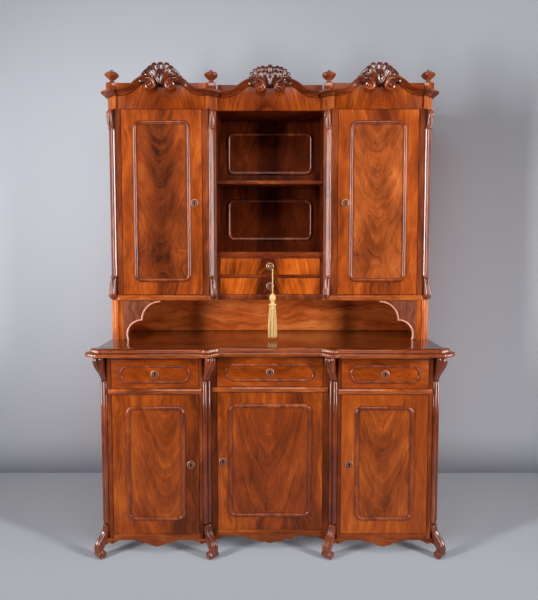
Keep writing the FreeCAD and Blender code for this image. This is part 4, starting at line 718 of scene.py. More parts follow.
cord = disc("strand", 7, STRAND_RADIUS, location=CORD_TOP + Vector((STRAND_REACH, 0, 0)))
for step in range(CORD_STEPS):
    extrude(0, 0, -CORD_LENGTH / CORD_STEPS)
    bpy.ops.transform.rotate(value=STEP_TURN, orient_axis="Z", center_override=CORD_TOP)
close(mend=False)
strands = [cord]
for number in range(1, STRANDS):
    turn = Matrix.Translation(CORD_TOP) @ Matrix.Rotation(FULL_TURN * number / STRANDS, 4, "Z")
    strands.append(twin_of(cord, "strand", turn @ Matrix.Translation(-CORD_TOP)))
cord = joined("key_cord_silk", *strands)
dress(cord, "tassel", "tassel_silk", silk, angle=60, replaced=("key_cord",))
report(cord)

# %% Tassel head
HEAD_PROFILE = ((0.0035, 0.0), (0.0085, -0.004), (0.0145, -0.012), (0.0165, -0.021), (0.0145, -0.03),
                (0.0095, -0.038), (0.0078, -0.044), (0.0090, -0.048), (0.0175, -0.051), (0.0195, -0.055),
                (0.0165, -0.059), (0.0112, -0.062), (0.0130, -0.068))


def raise_round(profile, start):
    """Extrude a disc along Z through radii and levels over a start, and let it grow or shrink at each."""
    for (radius, level), (next_radius, next_level) in zip(profile, profile[1:]):
        extrude(0, 0, next_level - level)
        grow = next_radius / radius
        bpy.ops.transform.resize(value=(grow, grow, 1), center_override=start + Vector((0, 0, next_level)))


head = disc("tassel_head", 30, HEAD_PROFILE[0][0], location=CORD_END)
raise_round(HEAD_PROFILE, CORD_END)
close(mend=False)
smooth(head)
report(head)

# %% Tassel threads
SKIRT_TOP = CORD_END + Vector((0, 0, -0.064))
SKIRT_DROP = 0.149
THREADS = ((26, 0.0125, 0.0205), (20, 0.0092, 0.0150), (12, 0.0055, 0.0090))
THREAD_RADIUS = 0.0015
THREAD_STEPS = 8
THREAD_TAPER = 0.8
tumble = random.Random(11)

thread = disc("thread", 5, THREAD_RADIUS)
for step in range(THREAD_STEPS):
    extrude(0, 0, -SKIRT_DROP / THREAD_STEPS)
bpy.ops.transform.resize(value=(THREAD_TAPER, THREAD_TAPER, 1))
close(mend=False)
threads = []
for count, top_radius, end_radius in THREADS:
    for number in range(count):
        copy = twin_of(thread, "thread_copy", Matrix.Identity(4))
        way = Matrix.Rotation(FULL_TURN * (number + tumble.uniform(-0.3, 0.3)) / count, 4, "Z")
        bow = tumble.uniform(0.0, 0.0022)
        cut = tumble.uniform(0.975, 1.0)
        for vertex in copy.data.vertices:
            share = -vertex.co.z / SKIRT_DROP
            out = top_radius + (end_radius - top_radius) * share ** 0.7 + bow * math.sin(math.pi * share)
            vertex.co = SKIRT_TOP + way @ Vector((vertex.co.x + out, vertex.co.y, vertex.co.z * cut))
        threads.append(copy)
bpy.data.objects.remove(thread)
tassel = joined("key_tassel_silk", head, *threads)
dress(tassel, "tassel", "tassel_silk", silk, angle=60, replaced=("key_tassel",))
print(len(threads), "threads")
report(tassel)

# %% Cord facts
for piece in (cord, tassel):
    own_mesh(piece)

# %% [markdown]
# ## Moulded panels
# Every door has a figured panel in a frame, with a half-round moulding laid over the joint. A moulding could
# be swept along a rectangle, but its mitres and round corners are easier on a face: a thin slab gets its
# corners bevelled, and its front face is inset again and again, each time a little higher or lower. Those
# steps are the moulding's section, and the face that is left in the middle is the panel.

# %% Moulding section
MOULDING_STEPS = ((1.2, 1.6), (1.5, 2.0), (2.0, 1.9), (2.4, 1.2), (2.4, 0.3), (2.4, -0.5), (2.2, -1.2),
                  (1.6, -1.7), (0.8, -1.3), (1.3, 0.3), (1.0, -0.2))
MOULDING_BASE = 0.0015


def inset_steps(steps, share=1.0):
    """Inset what is selected in steps of width and rise in millimetres, or a share of them."""
    for width, rise in steps:
        bpy.ops.mesh.inset(thickness=share * width / 1000, depth=share * rise / 1000)


def moulded_slab(name, low, high, corner, last_drop, share=1.0):
    """A slab with round corners and a moulding round its front. The panel inside has its second finish."""
    piece = block(name, low, high)
    pick(piece, "EDGE", lambda edge: abs(edge.verts[0].co.y - edge.verts[1].co.y) > 1e-5)
    bpy.ops.mesh.bevel(offset=corner, segments=9, profile=0.5, affect="EDGES")
    pick(piece, "FACE", lambda face: face.normal.y < -0.9)
    inset_steps(MOULDING_STEPS, share)
    bpy.ops.mesh.inset(thickness=0.0002, depth=-last_drop)
    bpy.ops.mesh.select_mode(type="FACE")
    for face in bmesh.from_edit_mesh(piece.data).faces:
        if face.select:
            face.material_index = 1
    return piece


print("moulding of", sum(width for width, rise in MOULDING_STEPS), "mm")

# %% Figured veneers
PANEL_TONES = {
    "left_upper_door_panel": ((58, 22, 8), (140, 62, 22), (190, 98, 40), 0.9, 1.0, 0.0),
    "right_upper_door_panel": ((84, 32, 10), (164, 80, 32), (212, 122, 60), 0.9, 0.5, 0.0),
    "left_base_door_panel": ((80, 30, 6), (148, 66, 18), (194, 102, 34), 1.1, 0.3, 0.05),
    "centre_door_panel": ((72, 26, 6), (140, 60, 16), (186, 94, 32), 1.0, 0.4, 0.0),
    "right_base_door_panel": ((82, 32, 8), (156, 72, 22), (204, 110, 42), 1.0, 0.4, 0.0),
}


def panel_veneer(name, tones, seed):
    """The plume of one panel, matched about its middle."""
    dark, middle, light, lean, smoke, aside = tones
    low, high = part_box(name)
    centre = ((low[0] + high[0]) / 2 + aside, low[1], low[2] - (0 if "upper" in name else 0.3))
    return wood(name + "_veneer", seed, dark, middle, light, centre=centre, lean=lean, plume=0.8, smoke=smoke)


veneers = {name: panel_veneer(name, tones, 11.0 + 3.1 * number)
           for number, (name, tones) in enumerate(PANEL_TONES.items())}
print(len(veneers), "panel veneers")

# %% Door panels
PANEL_LAP = 0.0095
PANEL_CORNER = 0.036
FRONT_PROUD = 0.008

for node_name, veneer in veneers.items():
    low, high = (list(corner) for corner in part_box(node_name))
    face = low[1] + FRONT_PROUD
    back = high[1]
    low[1], high[1] = face - MOULDING_BASE, face
    panel = moulded_slab(node_name.replace("panel", "moulded_panel"), low, high, PANEL_CORNER, 0.0034)
    pick(panel, "FACE", lambda item: item.normal.y > 0.9)
    bpy.ops.mesh.inset(thickness=PANEL_LAP)
    extrude(0, back - face, 0)
    close()
    dress(panel, node_name.replace("_panel", ""), "figured_veneer", bead_wood, veneer, replaced=(node_name,))
    report(panel)

# %% Drawer fronts
DRAWER_TONES = ((80, 28, 4), (152, 64, 12), (202, 104, 30))
LOZENGE_MARGIN = 0.036
LOZENGE_HEIGHT = 0.082
LOZENGE_CORNER = 0.038
LOZENGE_SHARE = 0.64


def bevelled_board(name, low, high, width):
    """A board whose front edges are bevelled by a width."""
    piece = block(name, low, high)
    pick(piece, "EDGE", lambda edge: all(vertex.co.y < low[1] + 1e-5 for vertex in edge.verts))
    bpy.ops.mesh.bevel(offset=width, segments=2, affect="EDGES")
    close()
    return piece


for number, side in enumerate(("left", "centre", "right")):
    node_name = side + "_drawer_front"
    low, high = (list(corner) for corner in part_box(node_name))
    low[1] += FRONT_PROUD
    middle_z = (low[2] + high[2]) / 2
    veneer = wood(node_name + "_veneer", 31.0 + 2.3 * number, *DRAWER_TONES, LEVEL,
                  centre=((low[0] + high[0]) / 2, 0, middle_z), lean=0.5, plume=0.5)
    board = bevelled_board(side + "_drawer_board", low, high, 0.0012)
    dress(board, side + "_drawer", "figured_veneer", veneer, replaced=(node_name,))
    lozenge = moulded_slab(side + "_drawer_lozenge",
                           (low[0] + LOZENGE_MARGIN, low[1] - MOULDING_BASE, middle_z - LOZENGE_HEIGHT / 2),
                           (high[0] - LOZENGE_MARGIN, low[1], middle_z + LOZENGE_HEIGHT / 2),
                           LOZENGE_CORNER, 0.0016, LOZENGE_SHARE)
    close()
    dress(lozenge, side + "_drawer", "polished_mahogany", bead_wood, veneer)
    report(lozenge)

# %% Niche mouldings
NICHE_PANELS = {"low": (1.427, 1.647), "high": (1.771, 1.991)}
niche_low, niche_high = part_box("niche_mouldings")
# The niche panels are painted dark: painted shade inside the deep niche.
niche_veneer_painted_shade = wood("niche_panel_veneer_painted_shade", 47.0, (44, 12, 3), (94, 34, 8), (136, 58, 16), lean=1.0, plume=0.6,
                    dullness=0.3, coat=0.0, gloss=0.06)

for number, (place, (bottom, top)) in enumerate(NICHE_PANELS.items()):
    panel = moulded_slab(place + "_niche_moulding", (niche_low[0], niche_high[1] - MOULDING_BASE, bottom),
                         (niche_high[0], niche_high[1], top), PANEL_CORNER, 0.0028)
    close()
    dress(panel, "upper_case", "polished_mahogany", dark_wood, niche_veneer_painted_shade,
          replaced=("niche_mouldings",) * (number == 0))
    report(panel)

# %% [markdown]
# ## Eased boards
# No edge on a polished piece is sharp: scraper and sandpaper round it a little, and that round catches the
# light. The boards of the construction are copied for this. Their loose triangles are merged, flat faces are
# joined up, and a small bevel goes along every edge.


# %% Eased boards
def eased(node, finish, width, segments=2):
    """A copy of a CAD node with a small bevel along its edges, standing for the node."""
    copy = twin_of(nodes[node], node + "_eased", Matrix.Identity(4))
    only(copy)
    bpy.ops.object.mode_set(mode="EDIT")
    bpy.ops.mesh.select_all(action="SELECT")
    bpy.ops.mesh.remove_doubles(threshold=0.00002)
    bpy.ops.mesh.dissolve_limited(angle_limit=math.radians(0.5))
    bpy.ops.object.mode_set(mode="OBJECT")
    ease_edges(copy, width, limit=25, segments=segments)
    body = body_of(nodes[node])[0]
    return dress(copy, body, "polished_mahogany", finish, angle=40, replaced=(node,))


EASED_BOARDS = {
    "base_top_board": (top_wood, 0.004, 4), "base_front_rails": (edge_wood, 0.0014, 2),
    "base_aprons": (apron_wood, 0.0014, 2), "support_brackets": (bracket_wood, 0.003, 3),
    "upper_floor_board": (edge_wood, 0.003, 3), "upper_shelves": (level_dark_wood, 0.002, 2),
}
boards = {name: eased(name, *given) for name, given in EASED_BOARDS.items()}
for board in boards.values():
    report(board)

# %% Ears of the worktop
EAR_START = (0.755, -0.19)
EAR_GROWTH = 1.26

top_board = boards["base_top_board"]
only(top_board)
bpy.ops.object.mode_set(mode="EDIT")
for side in (-1, 1):
    pick(top_board, "VERT", lambda vertex: vertex.co.x * side > EAR_START[0] and vertex.co.y < EAR_START[1])
    bpy.ops.transform.resize(value=(EAR_GROWTH, 1, 1), center_override=(side * EAR_START[0], 0, 0))
bpy.ops.object.mode_set(mode="OBJECT")
print("worktop", round(max(vertex.co.x for vertex in top_board.data.vertices) * 2, 3), "m wide")


# %% Boards with two finishes
def finish_faces(piece, finish, rule):
    """Give one more finish to the faces of a piece for which a rule holds on their middle and direction."""
    piece.data.materials.append(finish)
    for face in piece.data.polygons:
        if rule(face.center, face.normal):
            face.material_index = len(piece.data.materials) - 1


BAYS = {"left": -0.5115, "centre": 0.0, "right": 0.5115}
BAY_EDGE = 0.26
FLAME_TONES = ((74, 24, 3), (132, 54, 10), (180, 90, 24))
flames = {place: wood(place + "_frieze_flame", 6.6 + number, *FLAME_TONES, lean=-1.1, centre=(x, 0, 1.8),
                      plume=0.85, smoke=0.3, coat=0.05)
          for number, (place, x) in enumerate(BAYS.items())}
friezes = eased("pediment_friezes", flames["left"], 0.0012)
finish_faces(friezes, flames["centre"], lambda middle, way: abs(middle.x) < BAY_EDGE)
finish_faces(friezes, flames["right"], lambda middle, way: middle.x > BAY_EDGE)

# Below the case floor the backboard shows painted light. Above it, in the niche, it shows painted shade.
back_panel = eased("upper_back_panel", back_wood_painted_light, 0.001)
bpy.ops.object.mode_set(mode="EDIT")
bpy.ops.mesh.select_all(action="SELECT")
case_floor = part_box("upper_floor_board")[1][2]
bpy.ops.mesh.bisect(plane_co=(0, 0, case_floor), plane_no=(0, 0, 1))
bpy.ops.object.mode_set(mode="OBJECT")
finish_faces(back_panel, niche_wood_painted_shade, lambda middle, way: middle.z > case_floor)

finish_faces(top_board, rim_wood, lambda middle, way: abs(way.z) < 0.6)
finish_faces(boards["upper_floor_board"], post_dark,
             lambda middle, way: abs(middle.x) < BAY_EDGE and way.y < -0.3)
roof = eased("upper_roof_board", inner_wood, 0.001)
# The underside of the roof gets the same painted shade.
finish_faces(roof, niche_wood_painted_shade, lambda middle, way: way.z < -0.9)
for board in (friezes, back_panel, roof):
    report(board)

# %% Small drawers
PLUME_TONES = ((74, 26, 4), (184, 82, 16), (230, 130, 42))
VENEER_FRONT, VENEER_BACK = -0.0008, 0.0016

for number, place in enumerate(("low", "high")):
    node_name = place + "_niche_drawer"
    low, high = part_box(node_name)
    plume = wood(node_name + "_veneer", 61.0 + 4.0 * number, *PLUME_TONES, lean=-1.3,
                 centre=(0, 0, low[2] - 0.3), plume=0.9, smoke=1.6)
    front = bevelled_board(place + "_drawer_veneer", (low[0], low[1] + VENEER_FRONT, low[2]),
                           (high[0], low[1] + VENEER_BACK, high[2]), 0.0008)
    dress(front, node_name, "figured_veneer", plume)
    report(front)

# %% [markdown]
# ## Scrolled pilasters
# The corners of both cases are cut off at 45 degrees, and a pilaster stands on each cut: a foot, a reeded
# shaft and a console in the base, and a flatter shaft between two carved ends above. Each is a plan that is
# extruded upwards station by station, while its front moves in and out. That follows the scroll's outline as
# a carver does, which a turned or bent shape could not. The plan is modelled once for each kind, facing the
# front, and its copies are turned on to the corners.

# %% Pilaster plan
TWO_BEADS = (0.0, 0.75, 1.0, 0.75, 0.12, 0.75, 1.0, 0.75, 0.0)
ROUND_POINTS = 21
ROUND_SHARE = 0.38
HALF_ROUND = tuple(math.sqrt(max(0, 1 - ((number / (ROUND_POINTS - 1) - 0.5) / ROUND_SHARE) ** 2))
                   for number in range(ROUND_POINTS))
BACK = -0.002


def plan_at(name, bottom, width, back, front, beads, relief):
    """A flat plan at a level: a strip whose front edge is divided and raised into beads."""
    piece = begin(name, bpy.ops.mesh.primitive_plane_add, size=1, location=(0, -(front + back) / 2, bottom),
                  scale=(width, front - back, 1))
    pick(piece, "EDGE", lambda edge: all(vertex.co.y < -front + 1e-5 for vertex in edge.verts))
    bpy.ops.mesh.subdivide(number_cuts=len(beads) - 2)
    for number, height in enumerate(beads):
        place = (number / (len(beads) - 1) - 0.5) * width
        pick(piece, "VERT", lambda vertex: abs(vertex.co.x - place) < 1e-5 and vertex.co.y < -front + 1e-5)
        bpy.ops.transform.translate(value=(0, -height * relief, 0))
    return piece


def raise_plan(piece, stations):
    """Extrude a plan upwards through stations of level, front, back and width."""
    last = stations[0]
    bpy.ops.mesh.select_mode(type="FACE")
    bpy.ops.mesh.select_all(action="SELECT")
    for station in stations[1:]:
        level, front, back, width = station
        extrude(0, 0, level - last[0])
        bpy.ops.transform.resize(value=(width / last[3], 1, 1), center_override=(0, 0, level))
        mesh = bmesh.from_edit_mesh(piece.data)
        raised = [vertex for vertex in mesh.verts if vertex.co.z > level - 1e-5]
        for vertex in sorted(raised, key=lambda corner: -corner.co.y)[:2]:
            vertex.co.y += last[2] - back - (last[1] - front)
        bmesh.update_edit_mesh(piece.data)
        bpy.ops.transform.translate(value=(0, last[1] - front, 0))
        pick(piece, "FACE", lambda face: all(vertex.co.z > level - 1e-5 for vertex in face.verts))
        last = station


def pilaster_part(name, stations, beads, relief, levels=0):
    """One stretch of a pilaster, facing the front."""
    level, front, back, width = stations[0]
    piece = plan_at(name, level, width, back, front, beads, relief)
    raise_plan(piece, stations)
    close()
    if levels:
        smooth(piece, levels)
    return piece


print("plans have", len(TWO_BEADS), "or", len(HALF_ROUND), "points across")

# %% Base pilaster
FOOT = ((0.008, 0.040, 0.022, 0.039), (0.016, 0.0465, 0.026, 0.041), (0.026, 0.0515, 0.026, 0.042),
        (0.038, 0.0530, 0.024, 0.043), (0.049, 0.0525, 0.017, 0.043), (0.060, 0.0500, 0.006, 0.043),
        (0.069, 0.0455, BACK, 0.043), (0.078, 0.0395, BACK, 0.042), (0.087, 0.0315, BACK, 0.042),
        (0.096, 0.0235, BACK, 0.042), (0.105, 0.0165, BACK, 0.041), (0.116, 0.0115, BACK, 0.041),
        (0.130, 0.0090, BACK, 0.040), (0.146, 0.0085, BACK, 0.040))
CONSOLE = ((0.806, 0.0055, BACK, 0.039), (0.815, 0.0070, BACK, 0.040), (0.828, 0.0120, BACK, 0.040),
           (0.842, 0.0205, BACK, 0.041), (0.856, 0.0295, BACK, 0.042), (0.870, 0.0375, BACK, 0.043),
           (0.884, 0.0425, BACK, 0.043), (0.897, 0.0440, BACK, 0.043), (0.908, 0.0425, BACK, 0.043),
           (0.9168, 0.038, BACK, 0.042))
CARVING_RELIEF = 0.007
REED_LEVELS = (0.150, 0.806)
REED_RADIUS = 0.0105
TOE_RADIUS = 0.0185
TOE_STEPS = ((4.0, 1.5), (1.5, -2.5), (4.0, 0.0), (1.5, 2.5))

foot = pilaster_part("foot", FOOT, TWO_BEADS, CARVING_RELIEF, 1)
console = pilaster_part("console", CONSOLE, TWO_BEADS, CARVING_RELIEF, 1)
reed = begin("reed", bpy.ops.mesh.primitive_uv_sphere_add, segments=24, ring_count=14, radius=REED_RADIUS,
             location=(-REED_RADIUS, -0.003, REED_LEVELS[0] + REED_RADIUS))
pick(reed, "VERT", lambda vertex: vertex.co.z > REED_LEVELS[0] + REED_RADIUS + 1e-5)
bpy.ops.transform.translate(value=(0, 0, REED_LEVELS[1] - REED_LEVELS[0] - 2 * REED_RADIUS))
close()
other_reed = twin_of(reed, "other_reed", Matrix.Translation((2 * REED_RADIUS, 0, 0)))
toe = begin("toe", bpy.ops.mesh.primitive_cylinder_add, vertices=24, radius=TOE_RADIUS, depth=0.044,
            location=(0, -0.037, 0.0188), rotation=(0, math.pi / 2, 0))
pick(toe, "FACE", lambda face: abs(face.normal.x) > 0.9)
for width, rise in TOE_STEPS:
    bpy.ops.mesh.inset(thickness=width / 1000, depth=rise / 1000, use_individual=True)
close()
ease_edges(toe, 0.0012)
base_pilaster = joined("base_pilaster", reed, other_reed, foot, console, toe)
report(base_pilaster)

# %% Base pilasters in place
CANT = 45


def stand_on(x, y, turn):
    """The move from the front on to a canted corner."""
    return Matrix.Translation((x, y, 0)) @ Matrix.Rotation(math.radians(turn), 4, "Z")


def four_corners(outer, inner):
    """The moves on to the corners of a case, from the places of its right outer and right inner corner."""
    return {"left_outer": stand_on(-outer[0], outer[1], -CANT),
            "left_inner": stand_on(-inner[0], inner[1], CANT),
            "right_inner": stand_on(*inner, -CANT), "right_outer": stand_on(*outer, CANT)}


def set_copies(model, ending, moves, body, finish, angle, replaced=()):
    """Dressed copies of a model, one for each named move. The first may stand for nodes. The model goes."""
    for number, (place, move) in enumerate(moves.items()):
        copy = twin_of(model, place + ending, move)
        dress(copy, body, "polished_mahogany", finish, angle=angle, replaced=replaced * (number == 0))
    bpy.data.objects.remove(model)
    print(len(moves), "copies like", copy.name)


set_copies(base_pilaster, "_base_pilaster", four_corners((0.7395, -0.2275), (0.2855, -0.2325)), "base",
           dark_wood, 50, ("base_pilasters",))

# %% [markdown]
# ## Wings, posts and beads
# Three small things soften the joints between the big parts. A wing carries the line of an apron down into
# the foot: a flat board whose lower edge is an arch, cut with a fretsaw, so its lower points are moved one by
# one and the face is then extruded to its thickness. The posts under the upper case have two reeds on the cut
# corner, which are round rods set side by side. A bead runs along the scallops of the brackets, and its pale
# colour is a painted highlight. A curve with a thickness would do for it as well, but a spun circle stays a
# plain mesh.

# %% Apron wings
MIRROR = Matrix.Diagonal((-1, 1, 1, 1))
WING_REACH = 0.084
WING_LOW, WING_HIGH, WING_TOP = 0.034, 0.0775, 0.084
WING_FRONT = -0.2503
WING_THICKNESS = 0.016
WING_CUTS = 14
WING_PLACES = {"outer": Matrix.Translation((-0.752, 0, 0)), "inner": Matrix.Translation((0.268, 0, 0))}

wing = begin("wing", bpy.ops.mesh.primitive_grid_add, x_subdivisions=WING_CUTS, y_subdivisions=1, size=1,
             location=(WING_REACH / 2, WING_FRONT, WING_TOP - 0.5), rotation=(math.pi / 2, 0, 0),
             scale=(WING_REACH, 1, 1))
for number in range(WING_CUTS + 1):
    place = number / WING_CUTS
    arch = WING_LOW + (WING_HIGH - WING_LOW) * math.sqrt(1 - (1 - place) ** 2)
    pick(wing, "VERT", lambda vertex: abs(vertex.co.x - place * WING_REACH) < 1e-5 and vertex.co.z < 0)
    bpy.ops.transform.translate(value=(0, 0, arch - WING_TOP + 1))
bpy.ops.mesh.select_all(action="SELECT")
extrude(0, WING_THICKNESS, 0)
close()
ease_edges(wing, 0.0012)
report(wing)
outer, inner = WING_PLACES.values()
set_copies(wing, "_apron_wing", {"left_outer": outer, "left_inner": MIRROR @ inner, "right_inner": inner,
                                 "right_outer": MIRROR @ outer}, "base", apron_wood, 40)

# %% Support posts
POST_REED = 0.0118
POST_CORNER = (0.748, 0.002)
support_low, support_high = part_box("upper_supports")

post_reed = begin("post_reed", bpy.ops.mesh.primitive_cylinder_add, vertices=24, radius=POST_REED,
                  depth=support_high[2] - support_low[2],
                  location=(-0.9 * POST_REED, 0, (support_low[2] + support_high[2]) / 2))
close()
other_reed = twin_of(post_reed, "other_reed", Matrix.Translation((1.8 * POST_REED, 0, 0)))
support_post = joined("support_post", post_reed, other_reed)
post_moves = {"left": stand_on(-POST_CORNER[0], POST_CORNER[1], -CANT), "right": stand_on(*POST_CORNER, CANT)}
set_copies(support_post, "_support_post", post_moves, "upper_case", post_wood, 50)

# %% Bracket beads
BEAD_RADIUS = 0.0042
SCALLOPS = ((-0.617, 0.9758, 0.0712, 199.6), (-0.527, 1.046, 0.090, 180))

beads = []
for x, z, radius, start in SCALLOPS:
    angle = math.radians(start)
    beads.append(disc("bead", 10, BEAD_RADIUS, rotation=(0, math.pi - angle, 0),
                      location=(x + radius * math.cos(angle), support_low[1], z + radius * math.sin(angle))))
    bpy.ops.mesh.spin(steps=18, angle=math.pi / 2 - angle, center=(x, 0, z), axis=(0, 1, 0))
    close()
left_bead = joined("left_bracket_bead", *beads)
report(left_bead)
for piece in (left_bead, twin_of(left_bead, "right_bracket_bead", MIRROR)):
    # The pale finish paints a highlight along the bead.
    dress(piece, "upper_case", "polished_mahogany", pale_edge_painted_highlight, angle=60)

# %% [markdown]
# ## Carved leaves
# The crests and the ends of the upper pilasters are carved acanthus. A leaf starts as a flat grid. Its rows
# are made wide and narrow in turn, which gives the lobes, its rib is raised, and its tip rolls over. Thickness
# and smoothing come last. Carving each leaf anew would take long, so every crest is a fan of copies of that
# one leaf, each at its own size and slant.

# %% Leaf
LEAF_ROWS = ((0.30, 0.0), (0.62, 0.10), (0.56, 0.16), (0.95, 0.24), (0.80, 0.27), (1.0, 0.27), (0.84, 0.23),
             (0.80, 0.14), (0.40, -0.04))
LEAF_COLUMNS = (-0.10, 0.02, -0.05, 0.09, -0.05, 0.02, -0.10)
LEAF_BENDS = {"straight": 0.0, "right": 0.34, "left": -0.34}


def make_leaf(name, bend):
    """A leaf of unit length and width, upright, facing the front, whose tip bends to one side."""
    piece = begin(name, bpy.ops.mesh.primitive_grid_add, x_subdivisions=len(LEAF_COLUMNS) - 1,
                  y_subdivisions=len(LEAF_ROWS) - 1, size=1, location=(0, 0, 0.5),
                  rotation=(math.pi / 2, 0, 0))
    for number, (width, lift) in enumerate(LEAF_ROWS):
        level = number / (len(LEAF_ROWS) - 1)
        pick(piece, "VERT", lambda vertex: abs(vertex.co.z - level) < 1e-4)
        bpy.ops.transform.resize(value=(width, 1, 1), center_override=(0, 0, level))
        bpy.ops.transform.translate(value=(bend * level ** 2, -lift, 0))
    for column, raised in enumerate(LEAF_COLUMNS):
        pick(piece, "VERT", lambda vertex: vertex.index % len(LEAF_COLUMNS) == column)
        bpy.ops.transform.translate(value=(0, -raised, 0))
    close(mend=False)
    modify(piece, "SOLIDIFY", thickness=0.10, offset=-1.0)
    smooth(piece)
    return piece


leaves = {kind: make_leaf(kind + "_leaf", bend) for kind, bend in LEAF_BENDS.items()}
report(leaves["straight"])

# %% Parts of the crests
OTHER_SIDE = {"right": "left", "left": "right", "straight": "straight"}
SHELL_BOTTOM = 0.048


def leaf_at(kind, x, z, proud, slant, length, width, depth):
    """A copy of a leaf with its stem at a point, slanting from upright by an angle to the right."""
    turn = Matrix.Rotation(math.radians(slant), 4, "Y")
    size = Matrix.Diagonal((width, depth, length, 1))
    return twin_of(leaves[kind], "leaf_copy", Matrix.Translation((x, -proud, z)) @ turn @ size)


def both_sides(kind, x, z, proud, slant, *size):
    """Two leaves, one each side of the middle."""
    return [leaf_at(kind, x, z, proud, slant, *size), leaf_at(OTHER_SIDE[kind], -x, z, proud, -slant, *size)]


pearl = begin("pearl", bpy.ops.mesh.primitive_uv_sphere_add, segments=12, ring_count=8, radius=1)
close()


def pearls(places, proud, radius):
    """Beads at points on the right and on the left."""
    return [twin_of(pearl, "pearl_copy", Matrix.Translation((side * x, -proud, z)) @ Matrix.Scale(radius, 4))
            for x, z in places for side in (1, -1)]


def make_shell(half_width, height):
    """A domed board behind a crest, cut off level below, with a soft edge."""
    piece = disc("shell", 48, 1, location=(0, -0.001, SHELL_BOTTOM), rotation=(math.pi / 2, 0, 0),
                 scale=(half_width, height, 1))
    pick(piece, "VERT", lambda vertex: vertex.co.z < SHELL_BOTTOM)
    bpy.ops.transform.resize(value=(1, 1, 0.15), center_override=(0, 0, SHELL_BOTTOM))
    bpy.ops.mesh.select_all(action="SELECT")
    extrude(0, -0.005, 0)
    bpy.ops.mesh.inset(thickness=0.006, depth=0.003)
    close()
    return piece


print("leaves, pearls and shells ready for the crests")


# %% Crests
def side_crest():
    """A broad shell behind two rows of turning leaves, with a forked leaf in the middle and drooping ends."""
    fan = [make_shell(0.101, 0.083), leaf_at("straight", 0, 0.050, 0.006, 0, 0.093, 0.042, 0.028)]
    for slant, length in ((17, 0.094), (34, 0.090), (51, 0.088), (67, 0.094), (80, 0.102)):
        fan += both_sides("straight", 0.006, 0.050, 0.006, slant, length, 0.040, 0.028)
    for slant, length in ((50, 0.080), (70, 0.092)):
        fan += both_sides("right", 0.012, 0.048, 0.012, slant, length, 0.042, 0.036)
    fan += both_sides("right", 0.046, 0.066, 0.011, 90, 0.062, 0.036, 0.034)
    fan += both_sides("right", 0.066, 0.066, 0.008, 100, 0.046, 0.028, 0.030)
    fan += both_sides("right", 0.004, 0.034, 0.020, 24, 0.096, 0.036, 0.038)
    fan += both_sides("left", 0.003, 0.034, 0.026, 12, 0.058, 0.016, 0.030)
    fan += pearls(((0.058, 0.094), (0.072, 0.086), (0.084, 0.077), (0.095, 0.067), (0.014, 0.118)), 0.018,
                  0.0046)
    return fan


def middle_crest():
    """A loose spray of narrow leaves."""
    fan = [make_shell(0.097, 0.083), leaf_at("straight", 0, 0.044, 0.008, 0, 0.098, 0.034, 0.034)]
    for slant, length in ((13, 0.097), (26, 0.101), (39, 0.105), (52, 0.107), (65, 0.104), (78, 0.100)):
        fan += both_sides("right", 0.006, 0.044, 0.008, slant, length, 0.032, 0.030)
    for slant, length in ((24, 0.074), (46, 0.080), (68, 0.086)):
        fan += both_sides("left", 0.010, 0.044, 0.015, slant, length, 0.030, 0.032)
    fan += both_sides("right", 0.002, 0.038, 0.020, 6, 0.072, 0.020, 0.032)
    fan += pearls(((0.040, 0.100), (0.056, 0.092), (0.070, 0.082), (0.082, 0.070), (0.012, 0.112)), 0.020,
                  0.0042)
    return fan


CREST_BOTTOM = 2.119
FRIEZE_FACES = {"left": -0.018, "centre": 0.017, "right": -0.018}
CREST_MAKERS = {"left": side_crest, "centre": middle_crest, "right": side_crest}

for number, (place, make_fan) in enumerate(CREST_MAKERS.items()):
    crest = joined(place + "_crest_carving", *make_fan())
    crest.data.transform(Matrix.Translation((BAYS[place], FRIEZE_FACES[place], CREST_BOTTOM)))
    dress(crest, "upper_case", "polished_mahogany", carved_wood, angle=60,
          replaced=("crests",) * (number == 0))
    report(crest)
bpy.data.objects.remove(pearl)

# %% [markdown]
# ## Arched mouldings
# Over each bay a bold moulding runs level, swings up through a hollow and over a crown, and ends in a volute
# under the crest. Its section is one face. Extruding it level and spinning it about the two centres of the
# arch gives the same sweep as the joiner's template, with no twist. The other half is a mirror copy.

# %% Arch section
ARCH_SECTION = ((0, 0), (5, 0), (8, 1.5), (9, 4.5), (7.5, 7), (8.5, 9), (14, 10.5), (18.5, 13), (19.5, 15),
                (18.5, 17), (22, 17.5), (26, 19), (28, 22), (27, 25), (24, 26.8), (20, 27), (0, 27))
ARCH_BOTTOM = 2.106
ARCH_RISE = 0.064
ARCH_LEVEL = 0.010
ARCH_CROWN = 0.052
ARCH_HOLLOW = 0.125
ARCH_END = 0.010


def half_arch(span, face):
    """The left half of an arched moulding, about X 0."""
    run = span - ARCH_LEVEL - ARCH_CROWN
    crown_round = (ARCH_RISE ** 2 + run ** 2) / (2 * ARCH_RISE) - ARCH_HOLLOW
    turn = 2 * math.atan2(ARCH_RISE, run)
    piece = disc("half_arch", len(ARCH_SECTION), 0.01)
    mesh = bmesh.from_edit_mesh(piece.data)
    for vertex, (out, up) in zip(mesh.verts, ARCH_SECTION):
        vertex.co = (-span, face - out / 1000, ARCH_BOTTOM + up / 1000)
    bmesh.update_edit_mesh(piece.data)
    bpy.ops.mesh.select_all(action="SELECT")
    extrude(ARCH_LEVEL, 0, 0)
    sweeps = ((turn, ARCH_LEVEL - span, ARCH_HOLLOW), (-turn, -ARCH_CROWN, ARCH_RISE - crown_round))
    for angle, x, z in sweeps:
        bpy.ops.mesh.spin(steps=10, angle=angle, center=(x, 0, ARCH_BOTTOM + z), axis=(0, 1, 0))
    extrude(ARCH_END, 0, 0)
    close()
    return piece


print("arch section of", len(ARCH_SECTION), "points")

